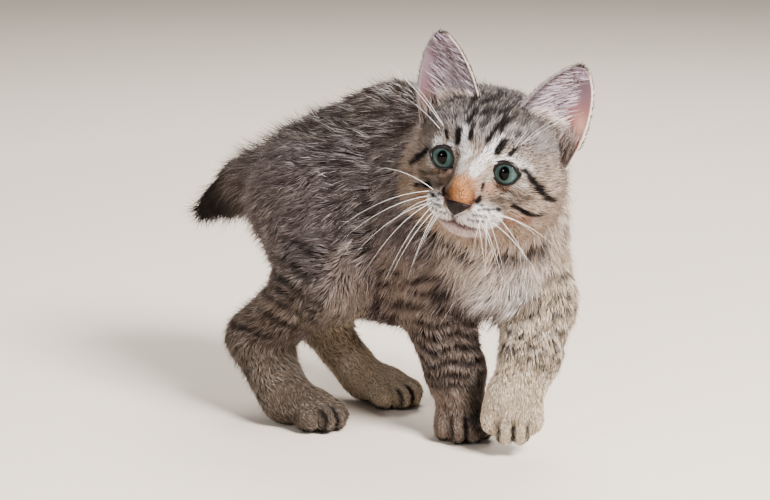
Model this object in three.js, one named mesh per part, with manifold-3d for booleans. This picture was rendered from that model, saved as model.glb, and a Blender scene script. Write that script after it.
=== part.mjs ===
// A bobtail kitten about ten weeks old, standing with a hunched back and one forepaw just off the floor.
// It is a still, life-size model. Each solid reaches out to the tips of the coat.
// Millimetres, +Z up. The body faces -Y with its left side toward +X, and the head is turned to its right.
// The origin is on the floor, under the middle of the model's box.

import * as THREE from 'three';
import { mergeVertices } from 'three/addons/utils/BufferGeometryUtils.js';
import Module from 'manifold-3d';

const wasm = await Module();
wasm.setup();

// ---------------------------------------------------------------- driving dimensions

const GAP = 0.3;              // clearance between two touching pieces
const WELDS = [0.08, 0.05, 0.12, 0.03, 0.2, 0.01];   // distances tried for joining near corners
const FLOOR_BITE = 60;        // how far below the floor the trimming block reaches

// Trunk: three ellipsoids along the back, each with its centre, half sizes (left, back, up) and heading.
const CHEST = { centre: [10.3, -54.3, 118], half: [36, 44, 55], heading: -22 };
const BELLY = { centre: [10.4, -4.6, 111], half: [37, 48, 63.5], heading: 0 };
const RUMP = { centre: [8.2, 35.4, 112], half: [36, 43, 43], heading: 6 };
const BRISKET = { top: [0.6, -67.6, 118], bottom: [6.8, -62.5, 84], topRadius: 24, bottomRadius: 15 };
const NECK = { root: [8.8, -55.6, 132], throat: [-3.1, -69.4, 138], rootRadius: 36, throatRadius: 33 };

// Tail: a short bob, with its joints and the radius of its coat at each.
const TAIL = [
  { at: [8.1, 66.6, 121], radius: 18 },
  { at: [2.8, 94, 110.5], radius: 14.5 },
  { at: [3.9, 123.4, 97.6], radius: 6 },
];

// Forelegs: shoulder, elbow, wrist and the joint above the toes.
const FORELEG_RIGHT = [[-13, -45.1, 104], [0.4, -30, 75], [1.7, -47.1, 34], [1.7, -51.7, 12]];
const FORELEG_LEFT = [[28.5, -66, 104], [26.8, -79.8, 69], [8.2, -87.9, 46], [-3.6, -87.2, 24]];
const FORELEG_RADII = [[23, 18], [18, 15], [14, 12]];

// Hind legs: hip, knee, hock and the ball of the foot. The thigh is flattened sideways.
const HINDLEG_RIGHT = {
  joints: [[-16.1, 33.2, 110], [-30.7, 11.8, 76], [-28, 59.8, 39], [-36.8, 31.5, 13.5]],
  radii: [[31, 20], [20, 14.5], [14.5, 14]],
};
const HINDLEG_LEFT = {
  joints: [[29.2, 32.1, 110], [26.5, 16.7, 76], [20.7, 64.1, 42], [19.7, 28, 12.5]],
  radii: [[31, 20], [20, 12.5], [12.5, 12]],
};
const THIGH_FLATNESS = 1.12;

// Widths of the fillets where one shape runs into the next.
const FILLET = {
  barrel: 22,
  brisket: 16,
  neck: 20,
  hindleg: 22,
  foreleg: 14,
  tail: 14,
  tailBend: 6,
  paw: 5,
  head: 10,
  forelegJoints: [8, 6],
  hindlegJoints: [12, 8],
};

// Paws: the middle of the foot, the way its toes point and its size against a paw 25 mm wide.
const PAW_HINDRIGHT = { centre: [-31.7, 17.5, 8.3], heading: -8, pitch: 0, size: 1.08 };
const PAW_HINDLEFT = { centre: [24.9, 15.4, 8.2], heading: -8, pitch: 0, size: 1.08 };
const PAW_FORERIGHT = { centre: [2.4, -51.1, 8.3], heading: -46, pitch: 0, size: 1.08 };
const PAW_FORELEFT = { centre: [-3.5, -86.1, 24], heading: -50, pitch: -48, size: 1.1 };
const PALM = { centre: [0, 3, 1.5], half: [12.5, 13, 9.5], fillet: 4 };
const TOES = [[-9.4, -6, 5.4], [-3.4, -10.5, 6], [3.4, -10.5, 6], [9.4, -6, 5.4]];   // left, back, radius
const TOE = { up: -1.5, stretch: [0.95, 1.4, 1.2], fillet: 1.2 };   // stretch: half sizes against the radius

// Head: its middle, and the turn, nod and roll of the face. Head shapes below are given as left, back, up.
const HEAD = { centre: [-15, -80.1, 144], heading: -70, pitch: -3, roll: -11 };
const EYE = { centre: [15.2, -19.6, 4.4], radius: 8.6 };
const NOSE = { centre: [0, -41.5, -12.2], half: [7, 5.5, 5] };
const BRAINCASE = { centre: [0, 5, 6], half: [33.5, 33, 27] };
const FACE = [
  { centre: [20, -2, -9], half: [17, 20, 17], fillet: 10, paired: true },       // cheeks
  { centre: [14, -12, 15], half: [13, 11, 10], fillet: 10, paired: true },      // brows
  { centre: [16, -13, 3], half: [14, 10.5, 13], fillet: 6, paired: true },      // eye sockets
  { bone: [[0, -19, 11], [0, -37, -5]], radii: [11, 6.8], fillet: 7 },          // bridge of the nose
  { centre: [8, -30.5, -14], half: [10.5, 12, 8.8], fillet: 8, paired: true },  // whisker pads
  { centre: [0, -39.5, -9.5], half: [6.2, 5, 5], fillet: 3 },                   // tip of the nose
  { centre: [0, -26.5, -22.5], half: [11, 10.5, 7], fillet: 5 },                // chin
  { centre: [0, -10, -18], half: [22, 24, 12], fillet: 8 },                     // jaw
];
const EAR = {
  base: [24.5, 1, 20],          // middle of the ear's root
  tip: [34.6, 3.2, 54.3],
  across: [25, 4, -17],         // from the inner edge of the root to the outer one
  inner: { width: 17.3, drop: 1.6, power: 0.62 },    // half width: width * (1 - up ** drop) ** power,
  outer: { width: 15.9, drop: 1.8, power: 0.575 },   // where up is the share of the ear's height
  cup: 8.5,                     // depth of the hollow at the root
  cupTaper: 0.8,                // power of the height left to the tip that it shrinks by
  hollow: 1,                    // depth that is left at the tip
  fade: 10,                     // half width below which the hollow flattens out
  forward: 1.5,                 // how far its edges stand forward of the line from base to tip
  wall: 2.6,                    // thickness at the root, fur included
  rings: [-0.3, 0.02, 0.25, 0.47, 0.67, 0.84, 0.95, 0.992],   // shares of the height, the first in the head
  columns: 8,
};

// Regions of the sub-parts. Each is an ellipsoid that the piece fills and its neighbours keep out of.
const HEAD_REGION = { centre: [0, -10, 0], half: [46, 44, 42], middle: [0, -16, -4] };   // left, back, up
const PAW_REGION = [20, 25, 17];
const LEG_REGIONS = [
  { name: 'foreleg_right', centre: [-0.3, -39.6, 55], half: [26, 28, 52], roll: 0 },
  { name: 'foreleg_left', centre: [17.7, -82.6, 64], half: [28, 27, 52], roll: -22 },
  { name: 'hindleg_right', centre: [-35.3, 32.4, 66], half: [27, 50, 62], roll: 0 },
  { name: 'hindleg_left', centre: [36.7, 36.4, 66], half: [27, 50, 62], roll: 0 },
];
const TAIL_REGION = { half: [26, 43, 26], pitch: 20 };
const RUFF_REGION = [57, 57, 57];
const BARREL_REACH = 14;        // how far past the trunk and neck shapes the barrel is followed
const BARREL_MARGIN = 82;       // half the width of the box round it

// Facets: cell sizes of the nets, and detail of the balls that are blown up to the outline.
const CELL = { nose: 3, neck: 13, trunk: 14, tail: 9, leg: 10.5 };
const DETAIL = { seam: 2, nose: 1, head: 8, paw: 4, eye: 2 };
const NET_MARGIN = 5;           // how far past its seam a net is followed
const BALL_MARGIN = 3;          // the same for a ball
const RAY_STEP = 2;
const HALVINGS = 12;

// ---------------------------------------------------------------- distance functions

function subtract(a, b) {
  return [a[0] - b[0], a[1] - b[1], a[2] - b[2]];
}

function dot(a, b) {
  return a[0] * b[0] + a[1] * b[1] + a[2] * b[2];
}

/** Axes (left, back, up) of something level that faces -Y at heading 0, then turned, pitched and rolled. */
function axesOf({ heading = 0, pitch = 0, roll = 0 }) {
  const turn = THREE.MathUtils.degToRad(heading);
  const nod = THREE.MathUtils.degToRad(pitch);
  const tilt = THREE.MathUtils.degToRad(roll);
  const level = new THREE.Vector3(-Math.sin(turn), Math.cos(turn), 0);
  const back = level.multiplyScalar(Math.cos(nod)).setZ(-Math.sin(nod));
  const levelLeft = new THREE.Vector3(Math.cos(turn), Math.sin(turn), 0);
  const levelUp = new THREE.Vector3().crossVectors(levelLeft, back);
  const left = levelLeft.clone().multiplyScalar(Math.cos(tilt)).addScaledVector(levelUp, Math.sin(tilt));
  const up = levelUp.multiplyScalar(Math.cos(tilt)).addScaledVector(levelLeft, -Math.sin(tilt));
  return [left.toArray(), back.toArray(), up.toArray()];
}

/** A point in the axes of a body with the given centre. */
function inAxes(point, centre, axes) {
  const offset = subtract(point, centre);
  return [dot(offset, axes[0]), dot(offset, axes[1]), dot(offset, axes[2])];
}

/** Union of two distances with a fillet of width k. */
function blend(a, b, k) {
  const overlap = Math.max(k - Math.abs(a - b), 0) / k;
  return Math.min(a, b) - overlap * overlap * k / 4;
}

/** Distance to a bone padded with a radius that changes from one joint to the next. */
function limb(point, from, to, fromRadius, toRadius, sideFlatness = 1) {
  const bone = subtract(to, from);
  const offset = subtract(point, from);
  const along = THREE.MathUtils.clamp(dot(offset, bone) / dot(bone, bone), 0, 1);
  const x = (offset[0] - along * bone[0]) * sideFlatness;
  const y = offset[1] - along * bone[1];
  const z = offset[2] - along * bone[2];
  return Math.hypot(x, y, z) - (fromRadius + (toRadius - fromRadius) * along);
}

/** Near distance to an ellipsoid, for a point already in the ellipsoid's own axes. */
function ellipsoid(local, centre, half) {
  const q = subtract(local, centre);
  const scaled = Math.hypot(q[0] / half[0], q[1] / half[1], q[2] / half[2]);
  const slope = Math.hypot(q[0] / half[0] ** 2, q[1] / half[1] ** 2, q[2] / half[2] ** 2) + 1e-9;
  return scaled * (scaled - 1) / slope;
}

// ---------------------------------------------------------------- body

const ORIGIN = [0, 0, 0];

function padded(body) {
  const axes = axesOf(body);
  return (point) => ellipsoid(inAxes(point, body.centre, axes), ORIGIN, body.half);
}

const chest = padded(CHEST);
const belly = padded(BELLY);
const rump = padded(RUMP);

function trunk(point) {
  const barrel = blend(blend(chest(point), belly(point), FILLET.barrel), rump(point), FILLET.barrel);
  const brisket = limb(point, BRISKET.top, BRISKET.bottom, BRISKET.topRadius, BRISKET.bottomRadius);
  return blend(barrel, brisket, FILLET.brisket);
}

function neck(point) {
  return limb(point, NECK.root, NECK.throat, NECK.rootRadius, NECK.throatRadius);
}

function tail(point) {
  const [root, middle, tip] = TAIL;
  const upper = limb(point, root.at, middle.at, root.radius, middle.radius);
  return blend(upper, limb(point, middle.at, tip.at, middle.radius, tip.radius), FILLET.tailBend);
}

/** Three padded bones in a row, each filleted into the one before. */
function leg(point, joints, radii, fillets, sideFlatness) {
  let distance = limb(point, joints[0], joints[1], ...radii[0], sideFlatness);
  for (let i = 1; i < radii.length; i += 1) {
    distance = blend(distance, limb(point, joints[i], joints[i + 1], ...radii[i]), fillets[i - 1]);
  }
  return distance;
}

function foreleg(joints) {
  return (point) => leg(point, joints, FORELEG_RADII, FILLET.forelegJoints, 1);
}

function hindleg({ joints, radii }) {
  return (point) => leg(point, joints, radii, FILLET.hindlegJoints, THIGH_FLATNESS);
}

/** A padded foot with four toes in an arc across its front. */
function paw(foot) {
  const axes = axesOf(foot);
  return (point) => {
    const q = inAxes(point, foot.centre, axes).map((value) => value / foot.size);
    let toes = Infinity;
    for (const [left, back, radius] of TOES) {
      const toe = ellipsoid(q, [left, back, TOE.up], TOE.stretch.map((share) => share * radius));
      toes = toes === Infinity ? toe : blend(toes, toe, TOE.fillet);
    }
    return blend(ellipsoid(q, PALM.centre, PALM.half), toes, PALM.fillet) * foot.size;
  };
}

// ---------------------------------------------------------------- head

const HEAD_AXES = axesOf(HEAD);

/** The place of a head point in the model's frame. */
function fromHead(local) {
  return HEAD.centre.map((middle, i) => (
    middle + local[0] * HEAD_AXES[0][i] + local[1] * HEAD_AXES[1][i] + local[2] * HEAD_AXES[2][i]
  ));
}

function head(point) {
  const q = inAxes(point, HEAD.centre, HEAD_AXES);
  const pair = [Math.abs(q[0]), q[1], q[2]];
  let distance = ellipsoid(q, BRAINCASE.centre, BRAINCASE.half);
  for (const { centre, half, bone, radii, fillet, paired } of FACE) {
    const shape = bone ? limb(q, ...bone, ...radii) : ellipsoid(paired ? pair : q, centre, half);
    distance = blend(distance, shape, fillet);
  }
  return distance;
}

// ---------------------------------------------------------------- whole outline

const foreRight = foreleg(FORELEG_RIGHT);
const foreLeft = foreleg(FORELEG_LEFT);
const hindRight = hindleg(HINDLEG_RIGHT);
const hindLeft = hindleg(HINDLEG_LEFT);
const pawForeRight = paw(PAW_FORERIGHT);
const pawForeLeft = paw(PAW_FORELEFT);
const pawHindRight = paw(PAW_HINDRIGHT);
const pawHindLeft = paw(PAW_HINDLEFT);

/** Outline of the whole kitten but for the ears, with every joint filleted. */
function outline(point) {
  let distance = blend(trunk(point), neck(point), FILLET.neck);
  distance = blend(distance, hindRight(point), FILLET.hindleg);
  distance = blend(distance, foreRight(point), FILLET.foreleg);
  distance = blend(distance, hindLeft(point), FILLET.hindleg);
  distance = blend(distance, foreLeft(point), FILLET.foreleg);
  distance = blend(distance, tail(point), FILLET.tail);
  distance = blend(distance, pawForeRight(point), FILLET.paw);
  distance = blend(distance, pawForeLeft(point), FILLET.paw);
  distance = blend(distance, pawHindRight(point), FILLET.paw);
  distance = blend(distance, pawHindLeft(point), FILLET.paw);
  return blend(distance, head(point), FILLET.head);
}

// ---------------------------------------------------------------- faceted surfaces

const CORNERS = [0, 1, 2, 3, 4, 5, 6, 7].map((i) => [i & 1, (i >> 1) & 1, i >> 2]);
const EDGES = [];
for (let a = 0; a < 8; a += 1) {
  for (const bit of [1, 2, 4]) {
    if (!(a & bit)) EDGES.push([a, a | bit]);
  }
}

function gradient(field, p) {
  const h = 0.05;
  return [
    (field([p[0] + h, p[1], p[2]]) - field([p[0] - h, p[1], p[2]])) / (2 * h),
    (field([p[0], p[1] + h, p[2]]) - field([p[0], p[1] - h, p[2]])) / (2 * h),
    (field([p[0], p[1], p[2] + h]) - field([p[0], p[1], p[2] - h])) / (2 * h),
  ];
}

/** The point moved along the field's slope until the field has the given level there. */
function settle(field, start, level, steps = 3) {
  let p = start;
  for (let i = 0; i < steps; i += 1) {
    const slope = gradient(field, p);
    const reach = (field(p) - level) / Math.max(dot(slope, slope), 0.1);
    p = [p[0] - slope[0] * reach, p[1] - slope[1] * reach, p[2] - slope[2] * reach];
  }
  return p;
}

/**
 * Closed mesh of the surface where a field is zero, found in the cells of a grid over a box. Each cell that
 * the surface crosses has one vertex, and each grid edge that it crosses has a quad between four cells.
 */
function surfaceNet(field, box, cell) {
  const size = box.getSize(new THREE.Vector3());
  const count = [size.x, size.y, size.z].map((length) => Math.ceil(length / cell) + 2);
  const low = box.min.toArray().map((value) => value - cell / 2);
  const nodeAt = (i, j, k) => (k * count[1] + j) * count[0] + i;
  const place = (i, j, k) => [low[0] + i * cell, low[1] + j * cell, low[2] + k * cell];
  const values = new Float64Array(count[0] * count[1] * count[2]);
  for (let k = 0; k < count[2]; k += 1) {
    for (let j = 0; j < count[1]; j += 1) {
      for (let i = 0; i < count[0]; i += 1) values[nodeAt(i, j, k)] = field(place(i, j, k));
    }
  }
  const vertices = [];
  const vertexOf = new Int32Array(values.length).fill(-1);
  for (let k = 0; k + 1 < count[2]; k += 1) {
    for (let j = 0; j + 1 < count[1]; j += 1) {
      for (let i = 0; i + 1 < count[0]; i += 1) {
        const corner = CORNERS.map(([x, y, z]) => values[nodeAt(i + x, j + y, k + z)]);
        const sum = [0, 0, 0];
        let crossings = 0;
        for (const [a, b] of EDGES) {
          if ((corner[a] < 0) === (corner[b] < 0)) continue;
          const t = corner[a] / (corner[a] - corner[b]);
          for (let axis = 0; axis < 3; axis += 1) {
            sum[axis] += CORNERS[a][axis] + t * (CORNERS[b][axis] - CORNERS[a][axis]);
          }
          crossings += 1;
        }
        if (crossings === 0) continue;
        vertexOf[nodeAt(i, j, k)] = vertices.length;
        vertices.push(place(i + sum[0] / crossings, j + sum[1] / crossings, k + sum[2] / crossings));
      }
    }
  }
  const triangles = [];
  const step = [1, count[0], count[0] * count[1]];
  for (let k = 1; k + 1 < count[2]; k += 1) {
    for (let j = 1; j + 1 < count[1]; j += 1) {
      for (let i = 1; i + 1 < count[0]; i += 1) {
        const node = nodeAt(i, j, k);
        for (let axis = 0; axis < 3; axis += 1) {
          const inside = values[node] < 0;
          if (inside === (values[node + step[axis]] < 0)) continue;
          const b = step[(axis + 1) % 3];
          const c = step[(axis + 2) % 3];
          const quad = [node - b - c, node - c, node, node - b].map((n) => vertexOf[n]);
          if (!inside) quad.reverse();
          triangles.push([quad[0], quad[1], quad[2]], [quad[0], quad[2], quad[3]]);
        }
      }
    }
  }
  return { vertices, triangles };
}

function solidFrom(vertices, triangles) {
  const mesh = new wasm.Mesh({
    numProp: 3,
    vertProperties: Float32Array.from(vertices.flat()),
    triVerts: Uint32Array.from(triangles.flat()),
  });
  return new wasm.Manifold(mesh);
}

/** A three.js geometry as a solid, with its shared vertices merged. */
function solidFromGeometry(geometry) {
  const bare = geometry.clone();
  bare.deleteAttribute('normal');
  bare.deleteAttribute('uv');
  const merged = mergeVertices(bare, 1e-4);
  const position = merged.getAttribute('position');
  const vertices = [];
  for (let i = 0; i < position.count; i += 1) {
    vertices.push([position.getX(i), position.getY(i), position.getZ(i)]);
  }
  const index = merged.getIndex().array;
  const triangles = [];
  for (let i = 0; i < index.length; i += 3) triangles.push([index[i], index[i + 1], index[i + 2]]);
  return solidFrom(vertices, triangles);
}

/** True where each edge has exactly two triangles. */
function isClosed(triangles) {
  const uses = new Map();
  for (const triangle of triangles) {
    for (let i = 0; i < 3; i += 1) {
      const key = [triangle[i], triangle[(i + 1) % 3]].sort((a, b) => a - b).join();
      uses.set(key, (uses.get(key) ?? 0) + 1);
    }
  }
  return [...uses.values()].every((count) => count === 2);
}

/** A mesh's corners and triangles, with corners closer than the weld joined and flat folds taken out. */
function weld(mesh, distance) {
  const vertices = [];
  const indexOf = [];
  for (let i = 0; i < mesh.vertProperties.length; i += 3) {
    const corner = Array.from(mesh.vertProperties.slice(i, i + 3));
    let match = vertices.findIndex((other) => Math.hypot(...subtract(other, corner)) < distance);
    if (match < 0) match = vertices.push(corner) - 1;
    indexOf.push(match);
  }
  const faces = new Map();
  for (let i = 0; i < mesh.triVerts.length; i += 3) {
    const triangle = Array.from(mesh.triVerts.slice(i, i + 3), (corner) => indexOf[corner]);
    if (new Set(triangle).size < 3) continue;
    const key = [...triangle].sort((a, b) => a - b).join();
    if (faces.has(key)) faces.delete(key);
    else faces.set(key, triangle);
  }
  return { vertices, triangles: [...faces.values()] };
}

/** A solid's surface, welded by the smallest distance that leaves it closed. */
function geometryFrom(solid) {
  const mesh = solid.getMesh();
  const trials = WELDS.map((distance) => weld(mesh, distance));
  const { vertices, triangles } = trials.find((trial) => isClosed(trial.triangles));
  const geometry = new THREE.BufferGeometry();
  geometry.setAttribute('position', new THREE.Float32BufferAttribute(vertices.flat(), 3));
  geometry.setIndex(triangles.flat());
  geometry.computeVertexNormals();
  return geometry;
}

/** The largest separate body of a solid, so that a sliver cut off at a seam is dropped. */
function largestBody(solid) {
  const bodies = solid.decompose();
  bodies.sort((a, b) => b.volume() - a.volume());
  return bodies[0];
}

// ---------------------------------------------------------------- regions of the sub-parts

/** Box round a chain of joints, padded by a margin. */
function boxRound(points, margin) {
  const box = new THREE.Box3();
  for (const point of points) box.expandByPoint(new THREE.Vector3(...point));
  return box.expandByScalar(margin);
}

/**
 * An ellipsoid where one sub-part ends: one faceted solid a half gap inside it for the piece, and one a half
 * gap outside it for the neighbours. Centre and half sizes are in the given axes.
 */
function seamAt(centre, half, axes, detail = DETAIL.seam) {
  const turn = new THREE.Matrix4().makeBasis(...axes.map((axis) => new THREE.Vector3(...axis)));
  const facets = (grow) => {
    const geometry = new THREE.IcosahedronGeometry(1, detail).scale(...half.map((size) => size + grow));
    return solidFromGeometry(geometry.applyMatrix4(turn).translate(...centre));
  };
  const field = (point) => ellipsoid(inAxes(point, centre, axes), ORIGIN, half);
  const box = boxRound([centre], Math.max(...half));
  return { field, box, centre, inside: facets(-GAP / 2), around: facets(GAP / 2) };
}

const floorBlock = solidFromGeometry(
  new THREE.BoxGeometry(600, 600, FLOOR_BITE).translate(0, 0, -FLOOR_BITE / 2),
);

/** The outline inside a seam and a little way past it, so that the seam's own solid can trim it. */
function outlineNear(seam, margin) {
  return (point) => Math.max(outline(point), seam.field(point) - margin);
}

/** A stretch of the body between joints, as a net of square cells. */
function nettedBody(seam, cell) {
  const near = outlineNear(seam, NET_MARGIN);
  const net = surfaceNet(near, seam.box.clone().expandByScalar(NET_MARGIN + cell), cell);
  return solidFrom(net.vertices.map((vertex) => settle(near, vertex, 0)), net.triangles);
}

/**
 * A rounded part, as a faceted ball whose corners are moved out along their rays from a centre, until they
 * are the given distance past the outline.
 */
function inflatedBody(seam, centre, detail, past = 0) {
  const near = outlineNear(seam, BALL_MARGIN);
  const geometry = new THREE.IcosahedronGeometry(1, detail);
  const position = geometry.getAttribute('position');
  for (let i = 0; i < position.count; i += 1) {
    const ray = [position.getX(i), position.getY(i), position.getZ(i)];
    const at = (distance) => near(centre.map((value, axis) => value + ray[axis] * distance)) - past;
    let inner = 0;
    let outer = RAY_STEP;
    while (at(outer) < 0) {
      inner = outer;
      outer += RAY_STEP;
    }
    for (let halving = 0; halving < HALVINGS; halving += 1) {
      const middle = (inner + outer) / 2;
      if (at(middle) < 0) inner = middle;
      else outer = middle;
    }
    position.setXYZ(i, ...centre.map((value, axis) => value + ray[axis] * inner));
  }
  return solidFromGeometry(geometry);
}

const used = [];

/** One flesh piece: the body inside its seam and above the floor, less the regions of earlier pieces. */
function carve(seam, whole) {
  let piece = whole.intersect(seam.inside).subtract(floorBlock);
  for (const earlier of used) piece = piece.subtract(earlier);
  used.push(seam.around);
  return largestBody(piece);
}

// ---------------------------------------------------------------- eyes, nose and ears

function ball(centre, radius) {
  return solidFromGeometry(new THREE.IcosahedronGeometry(radius, DETAIL.eye).translate(...centre));
}

function eyePlace(side) {
  return fromHead([side * EYE.centre[0], EYE.centre[1], EYE.centre[2]]);
}

/** Half width of an ear at a height from 0 at the root to 1 at the tip, straighter on its inner edge. */
function earHalfWidth(height, across) {
  const up = Math.max(height, 0);
  const half = across < 0 ? EAR.inner : EAR.outer;
  return half.width * (1 - up ** half.drop) ** half.power;
}

/** An ear: a cupped leaf that stands on the head, open toward the face, with a wall thinning to its rim. */
function ear(side) {
  const base = new THREE.Vector3(...EAR.base);
  const rise = new THREE.Vector3(...EAR.tip).sub(base);
  const length = rise.length();
  rise.normalize();
  const across = new THREE.Vector3(...EAR.across);
  across.addScaledVector(rise, -across.dot(rise)).normalize();
  const behind = new THREE.Vector3().crossVectors(rise, across);
  if (behind.y < 0) behind.negate();
  const { rings, columns } = EAR;
  const vertices = [];
  const front = [];
  const rear = [];
  for (const height of rings) {
    const up = Math.max(height, 0);
    const depth = EAR.cup * (1 - up) ** EAR.cupTaper + EAR.hollow;
    const frontRow = [];
    const rearRow = [];
    for (let j = 0; j <= columns; j += 1) {
      const t = -Math.cos(Math.PI * j / columns);
      const width = earHalfWidth(height, t);
      const hollow = depth * (1 - t * t) * Math.min(1, width / EAR.fade) - EAR.forward;
      const wall = EAR.wall * (1 - up / 2) * Math.sqrt(1 - t * t);
      const place = (offset) => {
        const spot = base.clone().addScaledVector(rise, length * height);
        spot.addScaledVector(across, width * t).addScaledVector(behind, hollow + offset);
        return fromHead([side * spot.x, spot.y, spot.z]);
      };
      frontRow.push(vertices.length);
      if (j === 0 || j === columns) {
        rearRow.push(vertices.length);
        vertices.push(place(0));
      } else {
        vertices.push(place(-wall / 2));
        rearRow.push(vertices.length);
        vertices.push(place(wall / 2));
      }
    }
    front.push(frontRow);
    rear.push(rearRow);
  }
  const triangles = [];
  const quad = (a, b, c, d) => {
    for (const corner of [[a, b, c], [a, c, d]]) {
      if (new Set(corner).size === 3) triangles.push(side > 0 ? corner : corner.reverse());
    }
  };
  for (let j = 0; j < columns; j += 1) {
    for (let i = 0; i + 1 < rings.length; i += 1) {
      quad(front[i][j], front[i][j + 1], front[i + 1][j + 1], front[i + 1][j]);
      quad(rear[i][j], rear[i + 1][j], rear[i + 1][j + 1], rear[i][j + 1]);
    }
    const last = rings.length - 1;
    quad(front[0][j], rear[0][j], rear[0][j + 1], front[0][j + 1]);
    quad(front[last][j], front[last][j + 1], rear[last][j + 1], rear[last][j]);
  }
  return solidFrom(vertices, triangles);
}

// ---------------------------------------------------------------- sub-parts

const COAT = 0x8d7c69;
const PALE_COAT = 0xb09d83;
const DARK_COAT = 0x5f5042;
const EAR_COLOUR = 0xb79c93;
const NOSE_COLOUR = 0x4b3430;
const EYE_COLOUR = 0x3f7d70;
const ROUGHNESS = { coat: 0.9, nose: 0.5, eye: 0.1 };

const kitten = new THREE.Group();

function addPiece(name, solid, colour, roughness = ROUGHNESS.coat) {
  const material = new THREE.MeshStandardMaterial({ color: colour, roughness, metalness: 0 });
  const mesh = new THREE.Mesh(geometryFrom(solid), material);
  mesh.name = name;
  kitten.add(mesh);
}

// Nose and eyes come first, so that the head is cut to fit round them.
const noseSeam = seamAt(fromHead(NOSE.centre), NOSE.half, HEAD_AXES, DETAIL.nose);
addPiece('nose', carve(noseSeam, nettedBody(noseSeam, CELL.nose)), NOSE_COLOUR, ROUGHNESS.nose);

for (const [name, side] of [['eye_left', 1], ['eye_right', -1]]) {
  addPiece(name, ball(eyePlace(side), EYE.radius), EYE_COLOUR, ROUGHNESS.eye);
  used.push(ball(eyePlace(side), EYE.radius + GAP));
}

const headSeam = seamAt(fromHead(HEAD_REGION.centre), HEAD_REGION.half, HEAD_AXES);
const headMiddle = fromHead(HEAD_REGION.middle);
addPiece('head', carve(headSeam, inflatedBody(headSeam, headMiddle, DETAIL.head)), COAT);

const headRoom = inflatedBody(headSeam, headMiddle, DETAIL.head, GAP);
for (const [name, side] of [['ear_left', 1], ['ear_right', -1]]) {
  addPiece(name, largestBody(ear(side).subtract(headRoom)), EAR_COLOUR);
}

// Paws, legs, tail and neck follow; the trunk is what is left.
const paws = [
  ['forepaw_right', PAW_FORERIGHT],
  ['forepaw_left', PAW_FORELEFT],
  ['hindpaw_right', PAW_HINDRIGHT],
  ['hindpaw_left', PAW_HINDLEFT],
];
for (const [name, foot] of paws) {
  const seam = seamAt(foot.centre, PAW_REGION, axesOf(foot));
  addPiece(name, carve(seam, inflatedBody(seam, foot.centre, DETAIL.paw)), PALE_COAT);
}

for (const region of LEG_REGIONS) {
  const seam = seamAt(region.centre, region.half, axesOf(region));
  addPiece(region.name, carve(seam, nettedBody(seam, CELL.leg)), PALE_COAT);
}

const tailSeam = seamAt(TAIL[1].at, TAIL_REGION.half, axesOf(TAIL_REGION));
addPiece('tail', carve(tailSeam, nettedBody(tailSeam, CELL.tail)), DARK_COAT);

const ruff = seamAt(HEAD.centre, RUFF_REGION, HEAD_AXES);
addPiece('neck', carve(ruff, nettedBody(ruff, CELL.neck)), COAT);

const barrel = (point) => Math.max(outline(point), Math.min(trunk(point), neck(point)) - BARREL_REACH);
const barrelBox = boxRound([CHEST.centre, BELLY.centre, RUMP.centre, NECK.throat], BARREL_MARGIN);
const barrelNet = surfaceNet(barrel, barrelBox, CELL.trunk);
let body = solidFrom(barrelNet.vertices.map((vertex) => settle(barrel, vertex, 0)), barrelNet.triangles);
for (const earlier of used) body = body.subtract(earlier);
addPiece('trunk', largestBody(body), COAT);

export default kitten;
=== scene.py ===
# A bobtail kitten about ten weeks old, standing hunched with one forepaw just off the floor.
# A skin goes inside the frame's solids and tufts of fur cover it. Then come the ears, the eyes in their
# lids, the nose leather and the whiskers.
# Shapes are worked out in millimetres, in the frame's axes: +Z up, the body facing -Y, its left side at +X.
# Head shapes are given as left, back and up of the middle of the head. make_piece turns all into metres.

import math

import bpy
import numpy as np
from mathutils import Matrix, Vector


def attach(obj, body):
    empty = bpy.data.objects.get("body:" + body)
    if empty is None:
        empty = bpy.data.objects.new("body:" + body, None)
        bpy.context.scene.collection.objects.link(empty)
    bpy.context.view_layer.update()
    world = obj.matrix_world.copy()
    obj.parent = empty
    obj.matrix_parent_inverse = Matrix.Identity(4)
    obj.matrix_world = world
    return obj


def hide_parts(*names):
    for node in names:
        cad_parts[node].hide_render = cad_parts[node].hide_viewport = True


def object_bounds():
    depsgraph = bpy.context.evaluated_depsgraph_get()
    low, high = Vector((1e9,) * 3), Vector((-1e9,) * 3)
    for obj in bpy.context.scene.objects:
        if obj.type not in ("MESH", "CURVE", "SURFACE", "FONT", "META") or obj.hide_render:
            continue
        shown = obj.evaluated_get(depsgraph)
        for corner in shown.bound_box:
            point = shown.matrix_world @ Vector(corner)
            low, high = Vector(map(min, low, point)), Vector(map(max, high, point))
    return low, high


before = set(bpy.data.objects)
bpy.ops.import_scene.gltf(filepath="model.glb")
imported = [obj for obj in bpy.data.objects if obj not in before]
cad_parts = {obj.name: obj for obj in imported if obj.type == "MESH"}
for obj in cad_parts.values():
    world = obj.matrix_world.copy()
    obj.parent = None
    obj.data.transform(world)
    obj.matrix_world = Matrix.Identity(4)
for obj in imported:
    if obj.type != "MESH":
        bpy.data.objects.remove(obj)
cad_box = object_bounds()

MM = 0.001                     # one millimetre in metres
F = np.float32
rng = np.random.default_rng(11)


# ---------------------------------------------------------------- sizes of the kitten

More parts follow.
